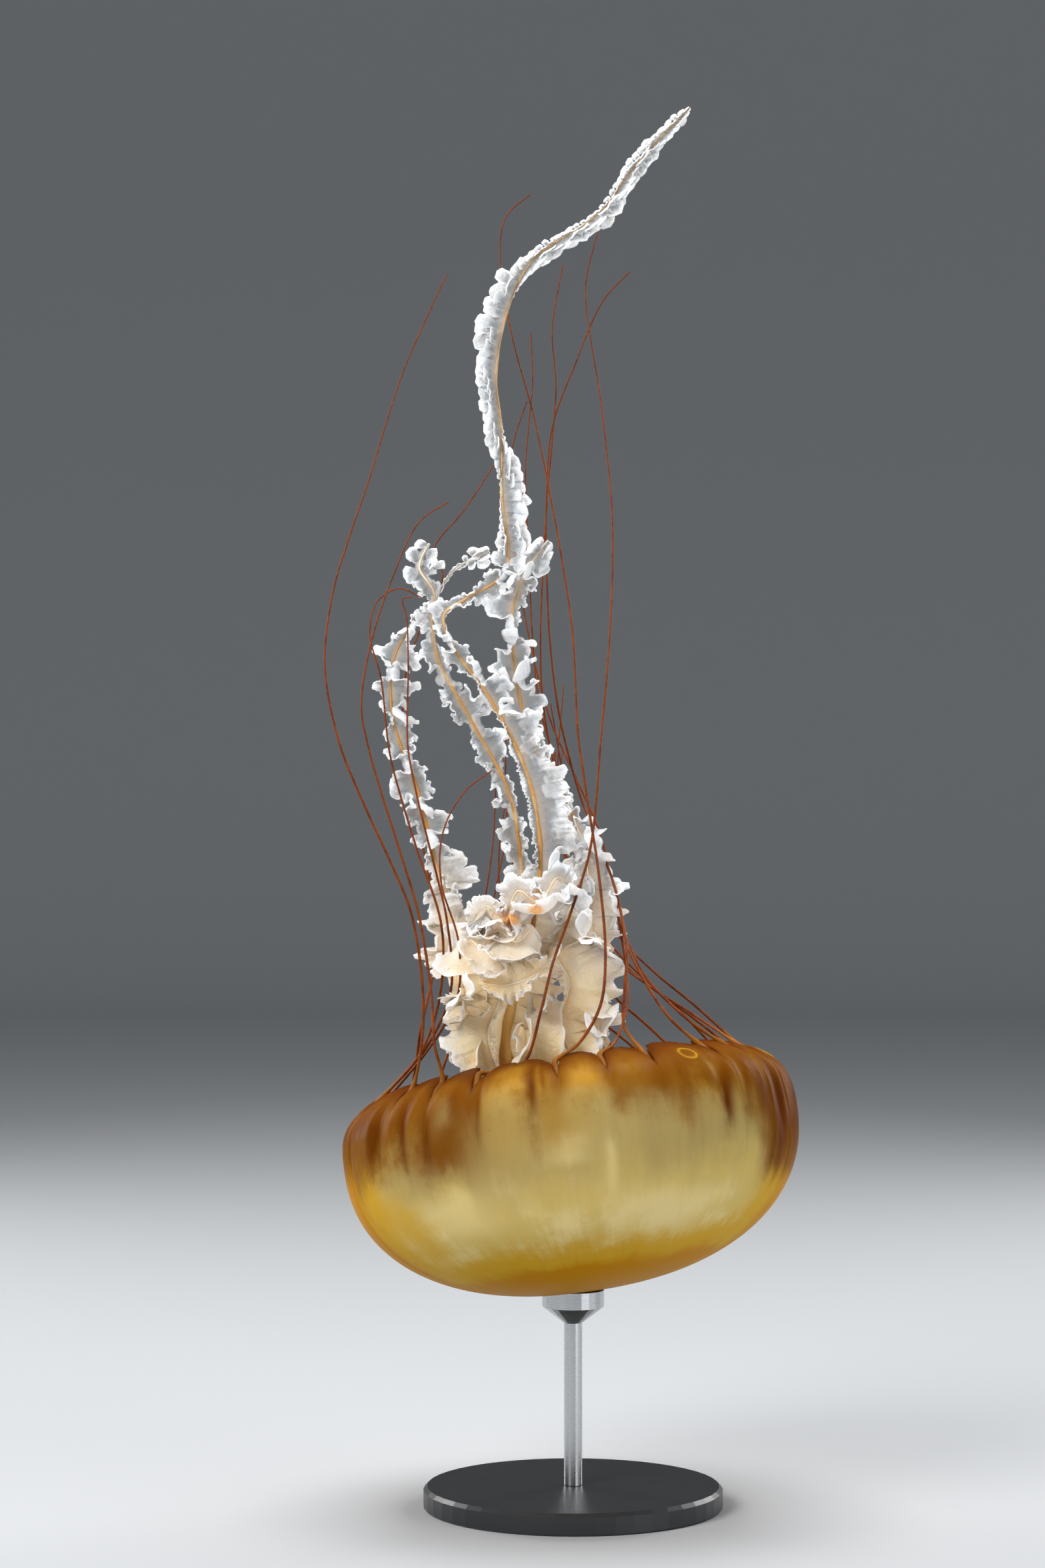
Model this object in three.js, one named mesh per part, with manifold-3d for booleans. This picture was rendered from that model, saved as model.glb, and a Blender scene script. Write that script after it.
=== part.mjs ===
// A life-size model of a swimming sea nettle, a jellyfish, held on a display stand.
// Millimetres, +Z up, +X to the right, -Y to the front. The origin is the centre of the underside of the
// stand's base. The bell swims mouth up, so its arms and tentacles trail upwards out of it.
import * as THREE from "three";
import { mergeVertices } from "three/addons/utils/BufferGeometryUtils.js";
import Module from "manifold-3d";

const wasm = await Module();
wasm.setup();

// Gap left where two solids touch.
const GAP = 0.3;

// The bell: a bowl measured from the middle of its widest ring.
const BELL_RADIUS = 125;
const BELL_DEPTH = 84;
const MARGIN_RISE = 46;
const DOME_POWER = 2.26;
const MARGIN_POWER = 3;
const BELL_CENTRE = new THREE.Vector3(-1.5, 0, 202);
const BELL_PITCH = THREE.MathUtils.degToRad(-9);
const BELL_ROLL = THREE.MathUtils.degToRad(-8.5);

// Wall thickness at the apex, at the widest ring and at the margin.
const APEX_WALL = 13;
const SIDE_WALL = 4.5;
const MARGIN_WALL = 3;

// The margin: eight like parts, each with a double lobe round a sense organ and two single lappets.
const OCTANTS = 8;
const STEPS_PER_OCTANT = 15;
const LOBE_STEPS = [7, 4, 4];
const STEP = 360 / (OCTANTS * STEPS_PER_OCTANT);
const MARGIN_START = -25.5;

// The parts aren't quite alike: their edges drift round the bell by up to this many degrees.
const MARGIN_DRIFT = 6.5;
const DRIFT_START = 25;

// How far round its own curve the wall turns, in degrees from the apex, in a notch and on a lobe.
const NOTCH_TURN = 116;
const LOBE_TURN = 137;
const LOBE_ROUNDNESS = 2.2;
const PLEAT_DEPTH = 4;
const PLEAT_FROM = 72;
const PLEAT_TO = 104;

// The manubrium, the mouth tube in the middle of the bell.
const MOUTH = new THREE.Vector3(-24, 3, 207);
const MOUTH_RADIUS = 25;
const MOUTH_ROOT_RADIUS = 30;
const MOUTH_CORNERS = 0.1;
const MOUTH_LEAN = 1.4;
const MOUTH_SIDES = 24;
// Its rings: height as a share of the whole, and radius as a share of the root's.
const MOUTH_RINGS = [[0.2, 0.84], [0.5, 0.72], [0.8, 0.77]];

// Oral arms: a rib with a frilled lip down each side.
const ARM_SIDES = 8;
const ARM_RING_SPACING = 9.5;
const RIB_THICKNESS = 2.9;
const RIB_TIP_THICKNESS = 1.3;
const FRILL_DEPTH = 2.6;
const FRILL_LENGTH = 34;
const LOBE_LENGTH = 41;
const LOBE_SWELL = 0.16;
const TIP_LENGTH = 8;
const TIP_BLUNTNESS = 0.02;
const LEAST_REACH = 1.5;
const WIDE_REACH = 12;

// Tentacles.
const TENTACLE_SIDES = 5;
const TENTACLE_RING_SPACING = 46;
const TENTACLE_ROOT_RADIUS = 1.6;
const TENTACLE_RADIUS = 1.15;
const TENTACLE_TIP_RADIUS = 0.5;
const ROOT_LIFT = 5.4;
const ROOT_STRAIGHT = 7.5;
const STEPS_PER_TURN = 40;

// The display stand.
const BASE_RADIUS = 82;
const BASE_HEIGHT = 12;
const BASE_EDGE = 2;
const BASE_SIDES = 48;
const ROD_RADIUS = 5;
const CUP_RADIUS = 17;
const CUP_HEIGHT = 9;
const ROD_SIDES = 24;

const flesh = new THREE.MeshStandardMaterial({ color: 0xb5893f, roughness: 0.35, metalness: 0 });
const mouthFlesh = new THREE.MeshStandardMaterial({ color: 0xd9bd97, roughness: 0.4, metalness: 0 });
const armFlesh = new THREE.MeshStandardMaterial({ color: 0xe6e2da, roughness: 0.45, metalness: 0 });
const tentacleFlesh = new THREE.MeshStandardMaterial({ color: 0x8f3f16, roughness: 0.45, metalness: 0 });
const standPaint = new THREE.MeshStandardMaterial({ color: 0x2b2d2f, roughness: 0.4, metalness: 0 });
const rodSteel = new THREE.MeshStandardMaterial({ color: 0x9a9da0, roughness: 0.3, metalness: 1 });

// ---- Shaping ---------------------------------------------------------------------------------------

// Six times the signed volume: negative when the faces point inwards.
function signedVolume(geometry) {
  const { index } = geometry;
  const position = geometry.getAttribute("position");
  const [a, b, c] = [new THREE.Vector3(), new THREE.Vector3(), new THREE.Vector3()];
  let sum = 0;
  for (let i = 0; i < index.count; i += 3) {
    a.fromBufferAttribute(position, index.getX(i));
    b.fromBufferAttribute(position, index.getX(i + 1));
    c.fromBufferAttribute(position, index.getX(i + 2));
    sum += a.dot(b.cross(c));
  }
  return sum;
}

// A lathe-turned blank whose every vertex is then put where place(row, angle) says. The blank is closed,
// since its first and last rows lie on its axis.
function moulded(rows, sides, place) {
  const profile = rows.map((row, i) => new THREE.Vector2(i === 0 || i === rows.length - 1 ? 0 : 1, i));
  const blank = new THREE.LatheGeometry(profile, sides);
  const position = blank.getAttribute("position");
  for (let v = 0; v < position.count; v += 1) {
    const side = Math.floor(v / rows.length) % sides;
    const point = place(rows[v % rows.length], (side / sides) * 2 * Math.PI);
    position.setXYZ(v, point.x, point.y, point.z);
  }
  if (signedVolume(blank) < 0) {
    const { array } = blank.index;
    for (let i = 0; i < array.length; i += 3) {
      [array[i + 1], array[i + 2]] = [array[i + 2], array[i + 1]];
    }
  }
  blank.deleteAttribute("normal");
  blank.deleteAttribute("uv");
  return blank;
}

function toSolid(geometry) {
  const merged = mergeVertices(geometry, 1e-3);
  return new wasm.Manifold(new wasm.Mesh({
    numProp: 3,
    vertProperties: new Float32Array(merged.getAttribute("position").array),
    triVerts: new Uint32Array(merged.index.array),
  }));
}

function toGeometry(solid) {
  const { vertProperties, triVerts } = solid.getMesh();
  const geometry = new THREE.BufferGeometry();
  geometry.setAttribute("position", new THREE.BufferAttribute(vertProperties, 3));
  geometry.setIndex(new THREE.BufferAttribute(triVerts, 1));
  return geometry;
}

// What is left of a cut solid once its offcuts have dropped away.
function largestBody(solid) {
  return solid.decompose().reduce((kept, body) => (body.volume() > kept.volume() ? body : kept));
}

const model = new THREE.Group();

function addPart(name, geometry, material) {
  const mesh = new THREE.Mesh(geometry, material);
  mesh.name = name;
  model.add(mesh);
  return mesh;
}

// ---- Bell ------------------------------------------------------------------------------------------

// 1 in the middle of a lobe of the margin and 0 in the notches beside it.
function lobeAt(degrees) {
  let steps = THREE.MathUtils.euclideanModulo((degrees - MARGIN_START) / STEP, STEPS_PER_OCTANT);
  let width = LOBE_STEPS[0];
  for (let i = 0; i < LOBE_STEPS.length - 1 && steps >= width; i += 1) {
    steps -= width;
    width = LOBE_STEPS[i + 1];
  }
  return 1 - Math.abs((2 * steps) / width - 1) ** LOBE_ROUNDNESS;
}

// A point of the wall: turn runs in degrees from the apex round the bowl's own curve, degrees runs round
// the bell from the front towards the right, and inset is the depth under the outer skin.
function wallPoint(turn, degrees, inset) {
  const angle = THREE.MathUtils.degToRad(turn);
  const drift = MARGIN_DRIFT * Math.sin(THREE.MathUtils.degToRad(degrees + DRIFT_START));
  const away = THREE.MathUtils.degToRad(degrees + drift);
  const power = 2 / (turn <= 90 ? DOME_POWER : MARGIN_POWER);
  const height = turn <= 90 ? BELL_DEPTH : MARGIN_RISE;
  const pleat = PLEAT_DEPTH * (1 - lobeAt(degrees)) * THREE.MathUtils.smoothstep(turn, PLEAT_FROM, PLEAT_TO);
  const radius = (BELL_RADIUS - inset) * Math.sin(angle) ** power - pleat;
  const rise = (height - inset) * Math.abs(Math.cos(angle)) ** power;
  return new THREE.Vector3(
    radius * Math.sin(away),
    -radius * Math.cos(away),
    turn <= 90 ? -rise : rise,
  );
}

function wallInset(turn) {
  const side = THREE.MathUtils.lerp(APEX_WALL, SIDE_WALL, THREE.MathUtils.smoothstep(turn, 0, 90));
  return THREE.MathUtils.lerp(side, MARGIN_WALL, THREE.MathUtils.smoothstep(turn, 90, NOTCH_TURN));
}

// The rows of the wall. Up to 90 degrees a row keeps its turn, and past it the rows share out the margin,
// which reaches further on a lobe than in a notch.
const OUTER_TURNS = [0, 15, 30, 46, 62, 78, 90];
const MARGIN_SHARES = [0.35, 0.7, 1];
const INNER_SHARES = [1, 0.5];
const INNER_TURNS = [84, 58, 30, 0];

function bellRow({ turn, share, inner }, degrees) {
  const end = THREE.MathUtils.lerp(NOTCH_TURN, LOBE_TURN, lobeAt(degrees));
  const reached = share === undefined ? turn : THREE.MathUtils.lerp(90, end, share);
  return wallPoint(reached, degrees, inner ? wallInset(reached) : 0);
}

function bellGeometry() {
  const rows = [
    ...OUTER_TURNS.map((turn) => ({ turn })),
    ...MARGIN_SHARES.map((share) => ({ share })),
    ...INNER_SHARES.map((share) => ({ share, inner: true })),
    ...INNER_TURNS.map((turn) => ({ turn, inner: true })),
  ];
  return moulded(rows, OCTANTS * STEPS_PER_OCTANT, (row, angle) =>
    bellRow(row, MARGIN_START + THREE.MathUtils.radToDeg(angle)));
}

const bell = addPart("bell", bellGeometry(), flesh);
bell.position.copy(BELL_CENTRE);
bell.rotation.set(BELL_PITCH, BELL_ROLL, 0);
bell.updateMatrix();

// ---- Manubrium -------------------------------------------------------------------------------------

// The mouth tube stands on the floor of the bell and leans over to the mouth, where its four soft corners
// hand on to the arms. It is measured in the bell's own frame.
const floorInside = new THREE.Vector3(0, 0, APEX_WALL - BELL_DEPTH);
const floorEdge = wallPoint(INNER_TURNS[2], 0, wallInset(INNER_TURNS[2]));
const floorSlope = (floorEdge.z - floorInside.z) / Math.abs(floorEdge.y);
const mouthInBell = MOUTH.clone().applyMatrix4(bell.matrix.clone().invert());

function manubriumGeometry(swell) {
  const height = mouthInBell.z - floorInside.z + swell;
  const rows = [
    { radius: 0, up: GAP },
    { radius: MOUTH_ROOT_RADIUS, up: GAP + MOUTH_ROOT_RADIUS * floorSlope },
    ...MOUTH_RINGS.map(([share, width]) => ({ radius: MOUTH_ROOT_RADIUS * width, up: height * share })),
    { radius: MOUTH_RADIUS, up: height },
    { radius: 0, up: height },
  ];
  return moulded(rows, MOUTH_SIDES, ({ radius, up }, angle) => {
    const lean = (up / height) ** MOUTH_LEAN;
    const round = radius === 0 ? 0 : (radius + swell) * (1 + MOUTH_CORNERS * lean * Math.cos(4 * angle));
    return new THREE.Vector3(
      mouthInBell.x * lean + round * Math.sin(angle),
      mouthInBell.y * lean - round * Math.cos(angle),
      floorInside.z + up,
    );
  }).applyMatrix4(bell.matrix);
}

addPart("manubrium", manubriumGeometry(0), mouthFlesh);
const roomForMouth = toSolid(manubriumGeometry(2 * GAP));

// ---- Oral arms -------------------------------------------------------------------------------------

// Each stop on an arm: the rib's place, how far the lip reaches to its left and its right, and which way
// the arm faces, in degrees from the front towards the right.
const arms = {
  long: {
    lengths: 5,
    stops: [
      [-24, -12, 204, 12, 12, 0],
      [-37, -36, 254, 22, 16, 0],
      [-23, -38, 315, 25, 20, 0],
      [-18, -36, 358, 9, 17, 0],
      [-25, -32, 400, 9, 16, 0],
      [-45, -29, 441, 3, 13, 0],
      [-67, -27, 473, 8, 4, 0],
      [-70, -27, 487, 8, 2, 0],
      [-58, -26, 496, 4, 7, 0],
      [-37, -23, 511, 8, 9, 0],
      [-39, -18, 552, 2, 15, 0],
      [-39, -15, 586, 9, 4, 0],
      [-42, -13, 619, 12, 2, 0],
      [-35, -12, 656, 15, 2, 0],
      [-22, -11, 681, 5, 6, 0],
      [14, -8, 707, 3, 8, 0],
      [35, -4, 735, 5, 6, 0],
      [64, 0, 766, 4, 4, 0],
    ],
  },
  right: {
    lengths: 3,
    stops: [
      [-9, 3, 204, 12, 12, 90],
      [10, -4, 256, 25, 9, 25],
      [16, -6, 307, 27, 6, 18],
      [9, -2, 350, 17, 4, 12],
      [-4, 6, 387, 8, 6, 10],
      [-23, 12, 420, 6, 9, 0],
      [-31, 13, 453, 12, 16, 0],
      [-33, 12, 490, 13, 5, 0],
      [-26, 9, 512, 10, 12, 0],
      [-14, 6, 529, 7, 8, 0],
    ],
  },
  middle: {
    lengths: 3,
    stops: [
      [-24, 18, 201, 12, 12, 180],
      [-25, 34, 253, 17, 17, 180],
      [-27, 24, 306, 15, 15, 180],
      [-28, 6, 347, 8, 11, 180],
      [-35, -5, 391, 4, 10, 180],
      [-54, -8, 427, 14, 7, 180],
      [-74, -8, 465, 5, 10, 180],
      [-77, -8, 487, 5, 8, 180],
      [-76, -8, 500, 7, 6, 180],
      [-84, -8, 514, 10, 10, 180],
      [-79, -7, 527, 8, 9, 180],
    ],
  },
  left: {
    lengths: 3,
    stops: [
      [-39, 3, 201, 12, 12, -90],
      [-57, 0, 256, 9, 18, -25],
      [-61, 0, 299, 8, 19, -15],
      [-74, 6, 347, 6, 17, -10],
      [-86, 12, 394, 14, 8, 0],
      [-99, 15, 431, 6, 12, 0],
      [-99, 16, 464, 10, 12, 0],
      [-90, 16, 481, 6, 7, 0],
      [-78, 16, 495, 3, 3, 0],
      [-66, 15, 513, 2, 2, 0],
      [-46, 12, 524, 9, 9, 0],
    ],
  },
};

// The rows of a piece from its rings' places, with a pole to close each end.
function closedRows(places) {
  const rings = places.map((at) => ({ at }));
  return [{ at: places[0], pole: true }, ...rings, { at: places.at(-1), pole: true }];
}

function ribPath(stops) {
  return new THREE.CatmullRomCurve3(stops.map(([x, y, z]) => new THREE.Vector3(x, y, z)));
}

function armGeometry(path, stops, start, end) {
  const count = Math.round((end - start) / ARM_RING_SPACING);
  const places = Array.from({ length: count + 1 }, (unused, i) => start + ((end - start) * i) / count);
  const shape = new THREE.CatmullRomCurve3(stops.map((stop) => new THREE.Vector3(...stop.slice(3))));
  const length = path.getLength();
  return moulded(closedRows(places), ARM_SIDES, ({ at, pole }, angle) => {
    const t = path.getUtoTmapping(Math.min(1, at / length));
    const rib = path.getPoint(t);
    if (pole) return rib;
    const [left, right, facing] = shape.getPoint(t).toArray();
    const turned = THREE.MathUtils.degToRad(facing);
    const front = new THREE.Vector3(Math.sin(turned), -Math.cos(turned), 0);
    const along = path.getTangent(t);
    const across = along.clone().cross(front).normalize();
    const outward = across.clone().cross(along);
    const taper = Math.min(1, Math.sqrt(Math.max(TIP_BLUNTNESS, (length - at) / TIP_LENGTH)));
    const side = Math.cos(angle);
    const swell = 1 + LOBE_SWELL * Math.sin((2 * Math.PI * at) / LOBE_LENGTH + Math.sign(side));
    const reach = Math.max(LEAST_REACH, side > 0 ? right : left) * swell * taper;
    const thickness = THREE.MathUtils.lerp(RIB_THICKNESS, RIB_TIP_THICKNESS, at / length) * taper;
    const frill = FRILL_DEPTH * Math.sin((2 * Math.PI * at) / FRILL_LENGTH + 2 * Math.sign(side));
    const depth = thickness * Math.sin(angle) + frill * taper * side * side * Math.min(1, reach / WIDE_REACH);
    return rib.addScaledVector(across, reach * side).addScaledVector(outward, depth);
  });
}

for (const [name, { stops, lengths }] of Object.entries(arms)) {
  const path = ribPath(stops);
  const each = path.getLength() / lengths;
  for (let i = 0; i < lengths; i += 1) {
    const end = each * (i + 1) - (i < lengths - 1 ? GAP / 2 : 0);
    const whole = armGeometry(path, stops, each * i + (i > 0 ? GAP / 2 : 0), end);
    const piece = i > 0 ? whole : toGeometry(largestBody(toSolid(whole).subtract(roomForMouth)));
    addPart(`oral_arm_${name}_${i + 1}`, piece, armFlesh);
  }
}

// ---- Tentacles -------------------------------------------------------------------------------------

// The notches that carry a tentacle, in degrees: the three that a single lappet borders in each octant.
const notches = [];
for (let octant = 0; octant < OCTANTS; octant += 1) {
  let steps = 0;
  for (const width of LOBE_STEPS) {
    steps += width;
    notches.push(MARGIN_START + (octant * STEPS_PER_OCTANT + steps) * STEP);
  }
}

// The root of a tentacle in its notch, and the direction in which the wall hands it on.
function tentacleRoot(degrees) {
  const middle = MARGIN_WALL / 2;
  const edge = wallPoint(NOTCH_TURN, degrees, middle).applyMatrix4(bell.matrix);
  const before = wallPoint(NOTCH_TURN - 1, degrees, middle).applyMatrix4(bell.matrix);
  const onward = edge.clone().sub(before).normalize();
  return { base: edge.addScaledVector(onward, ROOT_LIFT), onward };
}

// Tentacles that show their course: notch number, lengths, and the turns that each one takes after its
// root. Notch 0 is just left of the front, and the numbers run to the right round the bell.
const courses = [
  { notch: 23, lengths: 2, turns: [[-41, -82, 244], [-27, -77, 249], [-18, -76, 276], [-12, -71, 300],
    [8, -52, 359], [14, -42, 416], [20, -24, 484], [21, -8, 547], [14, 4, 614], [7, 10, 669], [14, 12, 701]] },
  { notch: 0, lengths: 2, turns: [[2, -87, 260], [13, -84, 279], [16, -77, 304], [13, -64, 346], [2, -46, 423],
    [-1, -26, 481], [-21, 12, 596], [-33, 18, 641], [-40, 20, 685], [-37, 20, 709], [-23, 20, 722]] },
  { notch: 1, lengths: 2, turns: [[20, -82, 259], [28, -56, 277], [26, -18, 314], [14, 26, 372],
    [-12, 66, 432], [-28, 76, 500], [-35, 76, 553], [-33, 72, 588], [-25, 68, 613]] },
  { notch: 2, lengths: 2, turns: [[26, -80, 268], [28, -54, 306], [21, -18, 344], [5, 22, 387],
    [-8, 36, 439], [-14, 36, 506], [-11, 28, 594], [1, 24, 627], [17, 20, 663], [32, 18, 679]] },
  { notch: 3, lengths: 2, turns: [[50, -62, 272], [32, -40, 301], [20, -2, 336], [-2, 28, 379],
    [-16, 44, 439], [-17, 50, 499], [-13, 48, 566], [-9, 44, 618], [-11, 42, 651], [-5, 40, 686]] },
  { notch: 4, lengths: 2, turns: [[63, -48, 268], [40, -30, 290], [24, 6, 324], [4, 38, 372],
    [-18, 58, 440], [-24, 62, 526], [-26, 60, 574], [-22, 58, 623], [-23, 56, 649]] },
  { notch: 22, lengths: 2, turns: [[-74, -80, 259], [-76, -70, 285], [-83, -60, 327], [-103, -52, 391],
    [-114, -46, 437], [-109, -42, 471], [-97, -38, 508], [-83, -34, 537], [-67, -32, 548]] },
  { notch: 21, lengths: 2, turns: [[-81, -65, 260], [-81, -60, 290], [-87, -56, 327], [-108, -48, 375],
    [-126, -42, 418], [-134, -36, 459], [-130, -30, 499], [-111, -22, 560], [-92, -10, 622], [-69, 0, 675]] },
  { notch: 20, lengths: 2, turns: [[-82, -42, 252], [-72, -47, 282], [-71, -50, 320], [-84, -46, 360],
    [-99, -38, 412], [-104, -34, 453], [-110, -32, 477], [-106, -31, 494], [-94, -32, 501],
    [-82, -34, 496]] },
  { notch: 19, lengths: 2, turns: [[-78, -27, 256], [-66, -42, 286], [-68, -54, 323], [-79, -55, 369],
    [-89, -48, 416], [-89, -42, 459], [-90, -40, 486], [-92, -40, 495], [-87, -40, 496]] },
  { notch: 18, lengths: 1, turns: [[-80, -14, 250], [-62, -44, 284], [-62, -58, 313], [-71, -60, 344],
    [-70, -58, 370], [-59, -56, 391], [-44, -56, 403]] },
  { notch: 17, lengths: 2, turns: [[-84, 20, 260], [-76, 34, 300], [-81, 42, 350], [-94, 44, 405],
    [-92, 40, 461], [-78, 34, 498], [-72, 33, 512], [-77, 33, 526], [-60, 30, 548], [-42, 28, 575]] },
];

// The other tentacles draw in behind the arms and trail there in a loose bundle.
const BUNDLE = new THREE.Vector2(-38, 92);
const BUNDLE_SHARES = [[0.14, 0.76], [0.32, 0.46], [0.55, 0.3], [0.8, 0.26], [1, 0.24]];
const BUNDLE_CLIMB = [150, 196, 172, 214, 186];
const BUNDLE_SWAY = 7;
const BUNDLE_WAVES = 5;

function looseTurns(root, number) {
  const climb = BUNDLE_CLIMB[number % BUNDLE_CLIMB.length];
  return BUNDLE_SHARES.map(([height, share]) => {
    const sway = BUNDLE_SWAY * height * Math.sin(BUNDLE_WAVES * height + number);
    return [
      THREE.MathUtils.lerp(BUNDLE.x, root.x, share) + sway,
      THREE.MathUtils.lerp(BUNDLE.y, root.y, share) + sway,
      root.z + climb * height,
    ];
  });
}

const followed = new Set(courses.map(({ notch }) => notch));
notches.forEach((degrees, notch) => {
  if (!followed.has(notch)) {
    courses.push({ notch, lengths: 1, turns: looseTurns(tentacleRoot(degrees).base, notch) });
  }
});

function tentaclePath(notch, turns) {
  const { base, onward } = tentacleRoot(notches[notch]);
  const free = base.clone().addScaledVector(onward, ROOT_STRAIGHT);
  return new THREE.CatmullRomCurve3([base, free, ...turns.map((turn) => new THREE.Vector3(...turn))]);
}

function tentacleRadius(at, length) {
  const body = THREE.MathUtils.lerp(TENTACLE_RADIUS, TENTACLE_TIP_RADIUS, at / length);
  const root = THREE.MathUtils.smoothstep(at, 0, 3 * ROOT_STRAIGHT);
  return THREE.MathUtils.lerp(TENTACLE_ROOT_RADIUS, body, root);
}

// The rings lie at the turns of the course, with more between two turns that are far apart.
function tentacleRings(path) {
  const spans = path.points.length - 1;
  const arcs = path.getLengths(STEPS_PER_TURN * spans);
  const places = [0];
  for (let span = 0; span < spans; span += 1) {
    const from = arcs[STEPS_PER_TURN * span];
    const to = arcs[STEPS_PER_TURN * (span + 1)];
    const count = Math.ceil((to - from) / TENTACLE_RING_SPACING);
    for (let i = 1; i <= count; i += 1) {
      places.push(THREE.MathUtils.lerp(from, to, i / count));
    }
  }
  return places;
}

function tentacleGeometry(path, places) {
  const length = path.getLength();
  const frameCount = STEPS_PER_TURN * path.points.length;
  const frames = path.computeFrenetFrames(frameCount);
  return moulded(closedRows(places), TENTACLE_SIDES, ({ at, pole }, angle) => {
    const along = Math.min(1, at / length);
    const point = path.getPointAt(along);
    if (pole) return point;
    const frame = Math.round(frameCount * along);
    const radius = tentacleRadius(at, length);
    return point
      .addScaledVector(frames.normals[frame], radius * Math.cos(angle))
      .addScaledVector(frames.binormals[frame], radius * Math.sin(angle));
  });
}

// A tentacle in two lengths is cut at its middle ring.
for (const { notch, lengths, turns } of courses) {
  const path = tentaclePath(notch, turns);
  const places = tentacleRings(path);
  const middle = Math.floor(places.length / 2);
  const cut = places[middle];
  const pieces = lengths === 1
    ? [places]
    : [[...places.slice(0, middle), cut - GAP / 2], [cut + GAP / 2, ...places.slice(middle + 1)]];
  pieces.forEach((piece, i) => {
    const number = String(notch + 1).padStart(2, "0");
    addPart(`tentacle_${number}_${i + 1}`, tentacleGeometry(path, piece), tentacleFlesh);
  });
}

// ---- Stand -----------------------------------------------------------------------------------------

const baseOutline = [
  [0, 0],
  [BASE_RADIUS - BASE_EDGE / 2, 0],
  [BASE_RADIUS, BASE_EDGE / 2],
  [BASE_RADIUS, BASE_HEIGHT - BASE_EDGE],
  [BASE_RADIUS - BASE_EDGE, BASE_HEIGHT],
  [0, BASE_HEIGHT],
].map(([radius, height]) => new THREE.Vector2(radius, height));
addPart("stand_base", new THREE.LatheGeometry(baseOutline, BASE_SIDES), standPaint).rotation.x = Math.PI / 2;

// The rod opens into a shallow cup, which is cut to the underside of the bell.
const bellSolid = toSolid(bell.geometry.clone().applyMatrix4(bell.matrix));
const bellLowest = bellSolid.boundingBox().min[2];
const cupTop = bellLowest + CUP_HEIGHT / 2;
const rodOutline = [
  [0, BASE_HEIGHT + GAP],
  [ROD_RADIUS, BASE_HEIGHT + GAP],
  [ROD_RADIUS, cupTop - 2 * CUP_HEIGHT],
  [CUP_RADIUS, cupTop - CUP_HEIGHT],
  [CUP_RADIUS, cupTop],
  [0, cupTop],
].map(([radius, height]) => new THREE.Vector2(radius, height));
const rodBlank = new THREE.LatheGeometry(rodOutline, ROD_SIDES);
rodBlank.deleteAttribute("normal");
rodBlank.deleteAttribute("uv");
rodBlank.rotateX(Math.PI / 2);
const rod = toSolid(rodBlank).subtract(bellSolid.translate([0, 0, -GAP]));
addPart("stand_rod", toGeometry(rod), rodSteel);

export default model;
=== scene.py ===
import math

import bpy
import numpy as np
from mathutils import Matrix, Vector


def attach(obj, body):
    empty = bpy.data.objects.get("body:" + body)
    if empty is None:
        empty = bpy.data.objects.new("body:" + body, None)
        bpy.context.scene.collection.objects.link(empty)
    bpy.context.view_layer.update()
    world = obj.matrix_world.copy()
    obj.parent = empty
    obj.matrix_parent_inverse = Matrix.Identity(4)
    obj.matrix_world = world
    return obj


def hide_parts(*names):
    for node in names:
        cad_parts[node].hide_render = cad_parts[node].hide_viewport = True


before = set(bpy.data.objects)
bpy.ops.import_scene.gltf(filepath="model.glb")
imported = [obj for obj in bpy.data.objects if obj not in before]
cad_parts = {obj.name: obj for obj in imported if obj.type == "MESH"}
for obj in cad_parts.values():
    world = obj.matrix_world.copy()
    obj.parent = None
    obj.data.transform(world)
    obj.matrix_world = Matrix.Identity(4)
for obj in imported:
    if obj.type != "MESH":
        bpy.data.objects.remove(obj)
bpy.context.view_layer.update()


# ---- Studio corner ------------------------------------
# A round sweep of pale card: flat where the stand rests, and rolled up into a wall behind it. Large soft
# boxes light it, and the camera looks at it level, through a long lens.

SWEEP_RADIUS = 6.0
SWEEP_ROLL = 1.6
SWEEP_HEIGHT = 5.0
SWEEP_SIDES = 96
SWEEP_GREY = (0.422, 0.431, 0.444, 1)
SWEEP_ROUGHNESS = 0.9
ROOM_GLOW, ROOM_STRENGTH = (0.9, 0.95, 1, 1), 0.29
CLEAR_LAYERS = 40
CAMERA_PLACE = (-0.0277, -2.027, 0.3957)
CAMERA_LENS, CAMERA_SENSOR = 85, 36


def link(thing):
    bpy.context.scene.collection.objects.link(thing)
    return thing


def new_material(name):
    """A material with its node tree, ready for the shader's sockets to be set or fed."""
    material = bpy.data.materials.new(name)
    material.use_nodes = True
    return material, material.node_tree


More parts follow.
